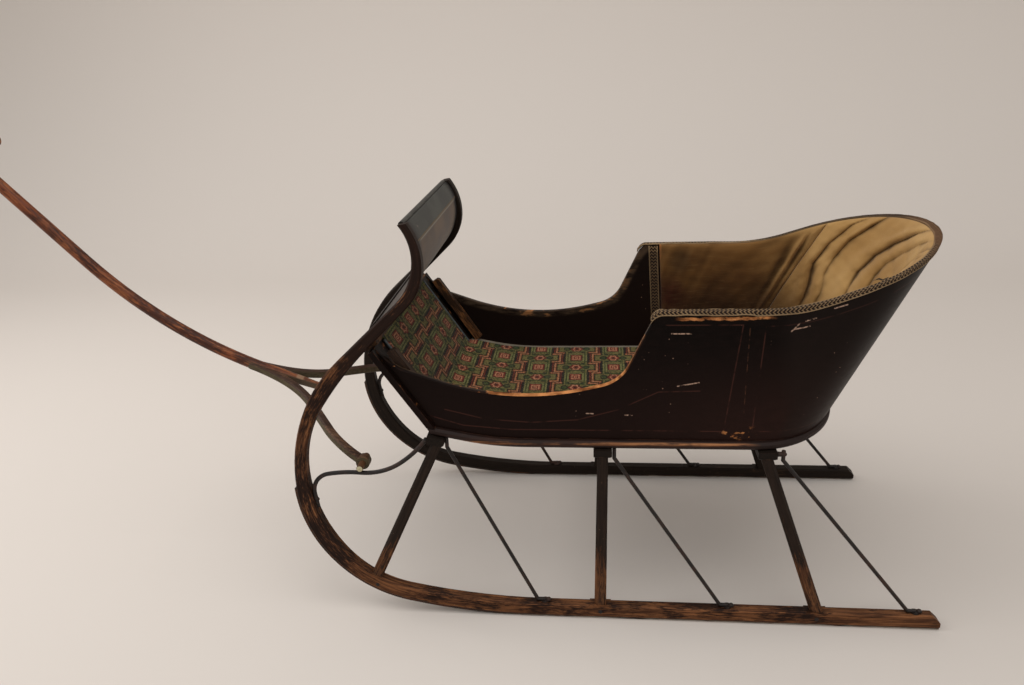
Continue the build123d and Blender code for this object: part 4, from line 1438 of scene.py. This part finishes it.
def dash_stitches():
    """A row of short stitches just above the seam, each a thin rod bent as a flat parabola."""
    curve, normal = dash_curve(200)
    nearest = np.abs(curve[:, 1] - seam_height - 0.0022).argmin()
    x, z = curve[nearest] + normal[nearest] * (dash_thickness + 0.0013)
    half = dash_half(z) - 0.004
    bend = np.linspace(-1, 1, 5)
    stitches = [
        tube(f"stitch_{k}", stand(x + 0.0003 * (1 - bend**2), middle + 0.0026 * bend, z), 0.00045, sides=6)
        for k, middle in enumerate(np.linspace(-half, half, 44))
    ]
    dress(join(stitches, "dash_stitches"), braid_cloth, "dash_leather")


def carpet_strips():
    """A thin round strip down each edge of the carpet on the toe board: a straight rod at the
    board's slope, raised square to it.
    """
    along = np.linspace(0.010, 0.158, 40)
    corner_z = floor_bottom + (floor_bend_x - toe_corner_x) * tan(floor_slope)
    inwards = 0.0128
    x = toe_corner_x - along * cos(toe_slope) + inwards * sin(toe_slope)
    z = corner_z + along * sin(toe_slope) + inwards * cos(toe_slope)
    strips = [tube(f"strip_{side}", stand(x, side * 0.1520, z), 0.0022) for side in (-1, 1)]
    dress(join(strips, "carpet_strips"), zinc, "shoe_steel")


def fasteners():
    """Bolt heads on the stays' feet, rivets through the runners at the posts, and the braces' nuts.

    A row gives the places in the runner's plane, how far out from its middle they are, the way out
    on one side, and the head's radius, height and number of corners.
    """
    feet = [(x, runner_top + 0.003) for x in stay_feet]
    posts = [(-0.392, 0.052), (-0.025, 0.0135), (0.314, 0.0135)]
    rows = {
        "stay_bolts": (feet, 0.0, lambda side: (0, -side * sin(lean), cos(lean)), 0.0042, 0.0036, 12),
        "post_rivets": (posts, 0.0095, lambda side: (0, side * cos(lean), sin(lean)), 0.0034, 0.0004, 12),
        "brace_nuts": ([(-0.4815, 0.2035)], 0.0, lambda side: (1.0, 0.0, 0.15), 0.0040, 0.0040, 6),
    }
    for name, (places, out, way, radius, height, corners) in rows.items():
        spots = [(x, z, side) for side in (-1, 1) for x, z in places]
        centres = [leaning_point(*spot, out) for spot in spots]
        heads = domes(name, centres, [way(spot[2]) for spot in spots], radius, height, corners)
        dress(heads, iron, "rod_iron")


def stay_lugs():
    """Short iron lugs that tie the rear stays' tops to their cross bar, each a tapered round stub."""
    x = np.array([0.2345, 0.2400, 0.2440, 0.2475, 0.2500, 0.2510])
    radius = np.array([0.0042, 0.0038, 0.0037, 0.0036, 0.0026, 0.0010])
    lugs = [tube(f"lug_{side}", stand(x, side * 0.2006, 0.2935), radius, sides=14) for side in (-1, 1)]
    dress(join(lugs, "stay_lugs"), iron, "rod_iron")


def pegs():
    """The two turned pegs that the tongue's eyes hang on, each a profile turned about its own line.

    A peg is a plain round rod with a slight swell, from just inside its eye to its outer end, where
    the edge is broken by a small round.
    """
    start = eye_inner - 0.006
    shank = np.linspace(start + 0.001, peg_end - 0.001, 20)
    y = np.concatenate([[start, start + 0.0002], shank, [peg_end - 0.0003, peg_end]])
    radius = 0.00545 + 0.00010 * np.sin(9 * pi * (y - start) / (peg_end - start))
    radius[:2] = (0.0040, 0.0050)
    radius[-2:] = (0.0052, 0.0046)
    turn = np.linspace(0, 2 * pi, 32, endpoint=False)[None, :]
    x = dowel_x + radius[:, None] * np.cos(turn)
    z = dowel_z + radius[:, None] * np.sin(turn)
    pieces = [surface(f"peg_{side}", close_ends(stand(x, side * y[:, None], z))) for side in (-1, 1)]
    piece = join(pieces, "tongue_pegs")
    cover(piece, peg_wood())
    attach(piece, "tongue")
    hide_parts("tongue_dowel")


dash_lap()
dash_stitches()
carpet_strips()
fasteners()
stay_lugs()
pegs()


# Stage: camera, floor and light


def stage():
    """A pale floor and backdrop in one sheet: level, then a quarter circle, then upright."""
    paper = Finish("studio_paper", Roughness=0.95, Specular_IOR_Level=0.0)
    paper.shader.inputs["Base Color"].default_value = as_colour((210, 203, 197))
    reach, radius = 14.0, 1.2
    turn = np.linspace(0.1, pi / 2, 16)
    y = np.concatenate([np.linspace(-reach, 1.6, 8), 1.6 + radius * np.sin(turn), [1.6 + radius]])
    z = np.concatenate([np.zeros(8), radius - radius * np.cos(turn), [7.0]])
    x = np.linspace(-reach, reach, 5)[:, None]
    points = np.stack(np.broadcast_arrays(x, y[None], z[None]), axis=-1)
    sheet = surface("studio_sheet", points, closed=False)
    sheet.data.materials.append(paper.material)


def camera():
    """The photograph's camera, fitted to the sleigh: its place, its turns and its focal length."""
    yaw, pitch, roll = -0.11437, 0.3771, 0.04402
    place = Vector((mid - 0.032313, -1.253219, 0.892987))
    ahead = Vector((sin(yaw) * cos(pitch), cos(yaw) * cos(pitch), -sin(pitch)))
    right = Vector((cos(yaw), -sin(yaw), 0))
    down = ahead.cross(right)
    tilted_right = cos(roll) * right + sin(roll) * down
    tilted_down = -sin(roll) * right + cos(roll) * down
    data = bpy.data.cameras.new("photo_camera")
    focal_pixels, width_pixels = 781.20627, 1024
    data.sensor_width = 36.0
    data.lens = focal_pixels / width_pixels * data.sensor_width
    made = new_object("photo_camera", data)
    columns = Matrix((tilted_right, -tilted_down, -ahead)).transposed()
    made.matrix_world = Matrix.Translation(place) @ columns.to_4x4()
    bpy.context.scene.camera = made


def lamp(name, place, target, size, power):
    """A large soft lamp that faces its target."""
    data = bpy.data.lights.new(name, "AREA")
    data.shape = "DISK"
    data.size = size
    data.energy = power
    data.color = (1.0, 0.985, 0.965)
    made = new_object(name, data)
    made.location = place
    made.rotation_euler = (Vector(target) - Vector(place)).to_track_quat("-Z", "Y").to_euler()


def light():
    """Soft light from the upper left and the front, and a pale world all round."""
    world = bpy.data.worlds.new("studio_world")
    world.use_nodes = True
    sky = world.node_tree.nodes["Background"]
    sky.inputs["Color"].default_value = (1.0, 0.97, 0.93, 1.0)
    sky.inputs["Strength"].default_value = 0.76
    bpy.context.scene.world = world
    lamp("key_lamp", (-2.0, -0.1, 2.1), (0.3, 0, 0.35), 1.8, 34.0)
    lamp("top_lamp", (0.6, -0.7, 2.9), (0.3, 0, 0.3), 2.2, 17.5)


camera()
stage()
light()
bpy.context.scene.view_settings.view_transform = "Standard"
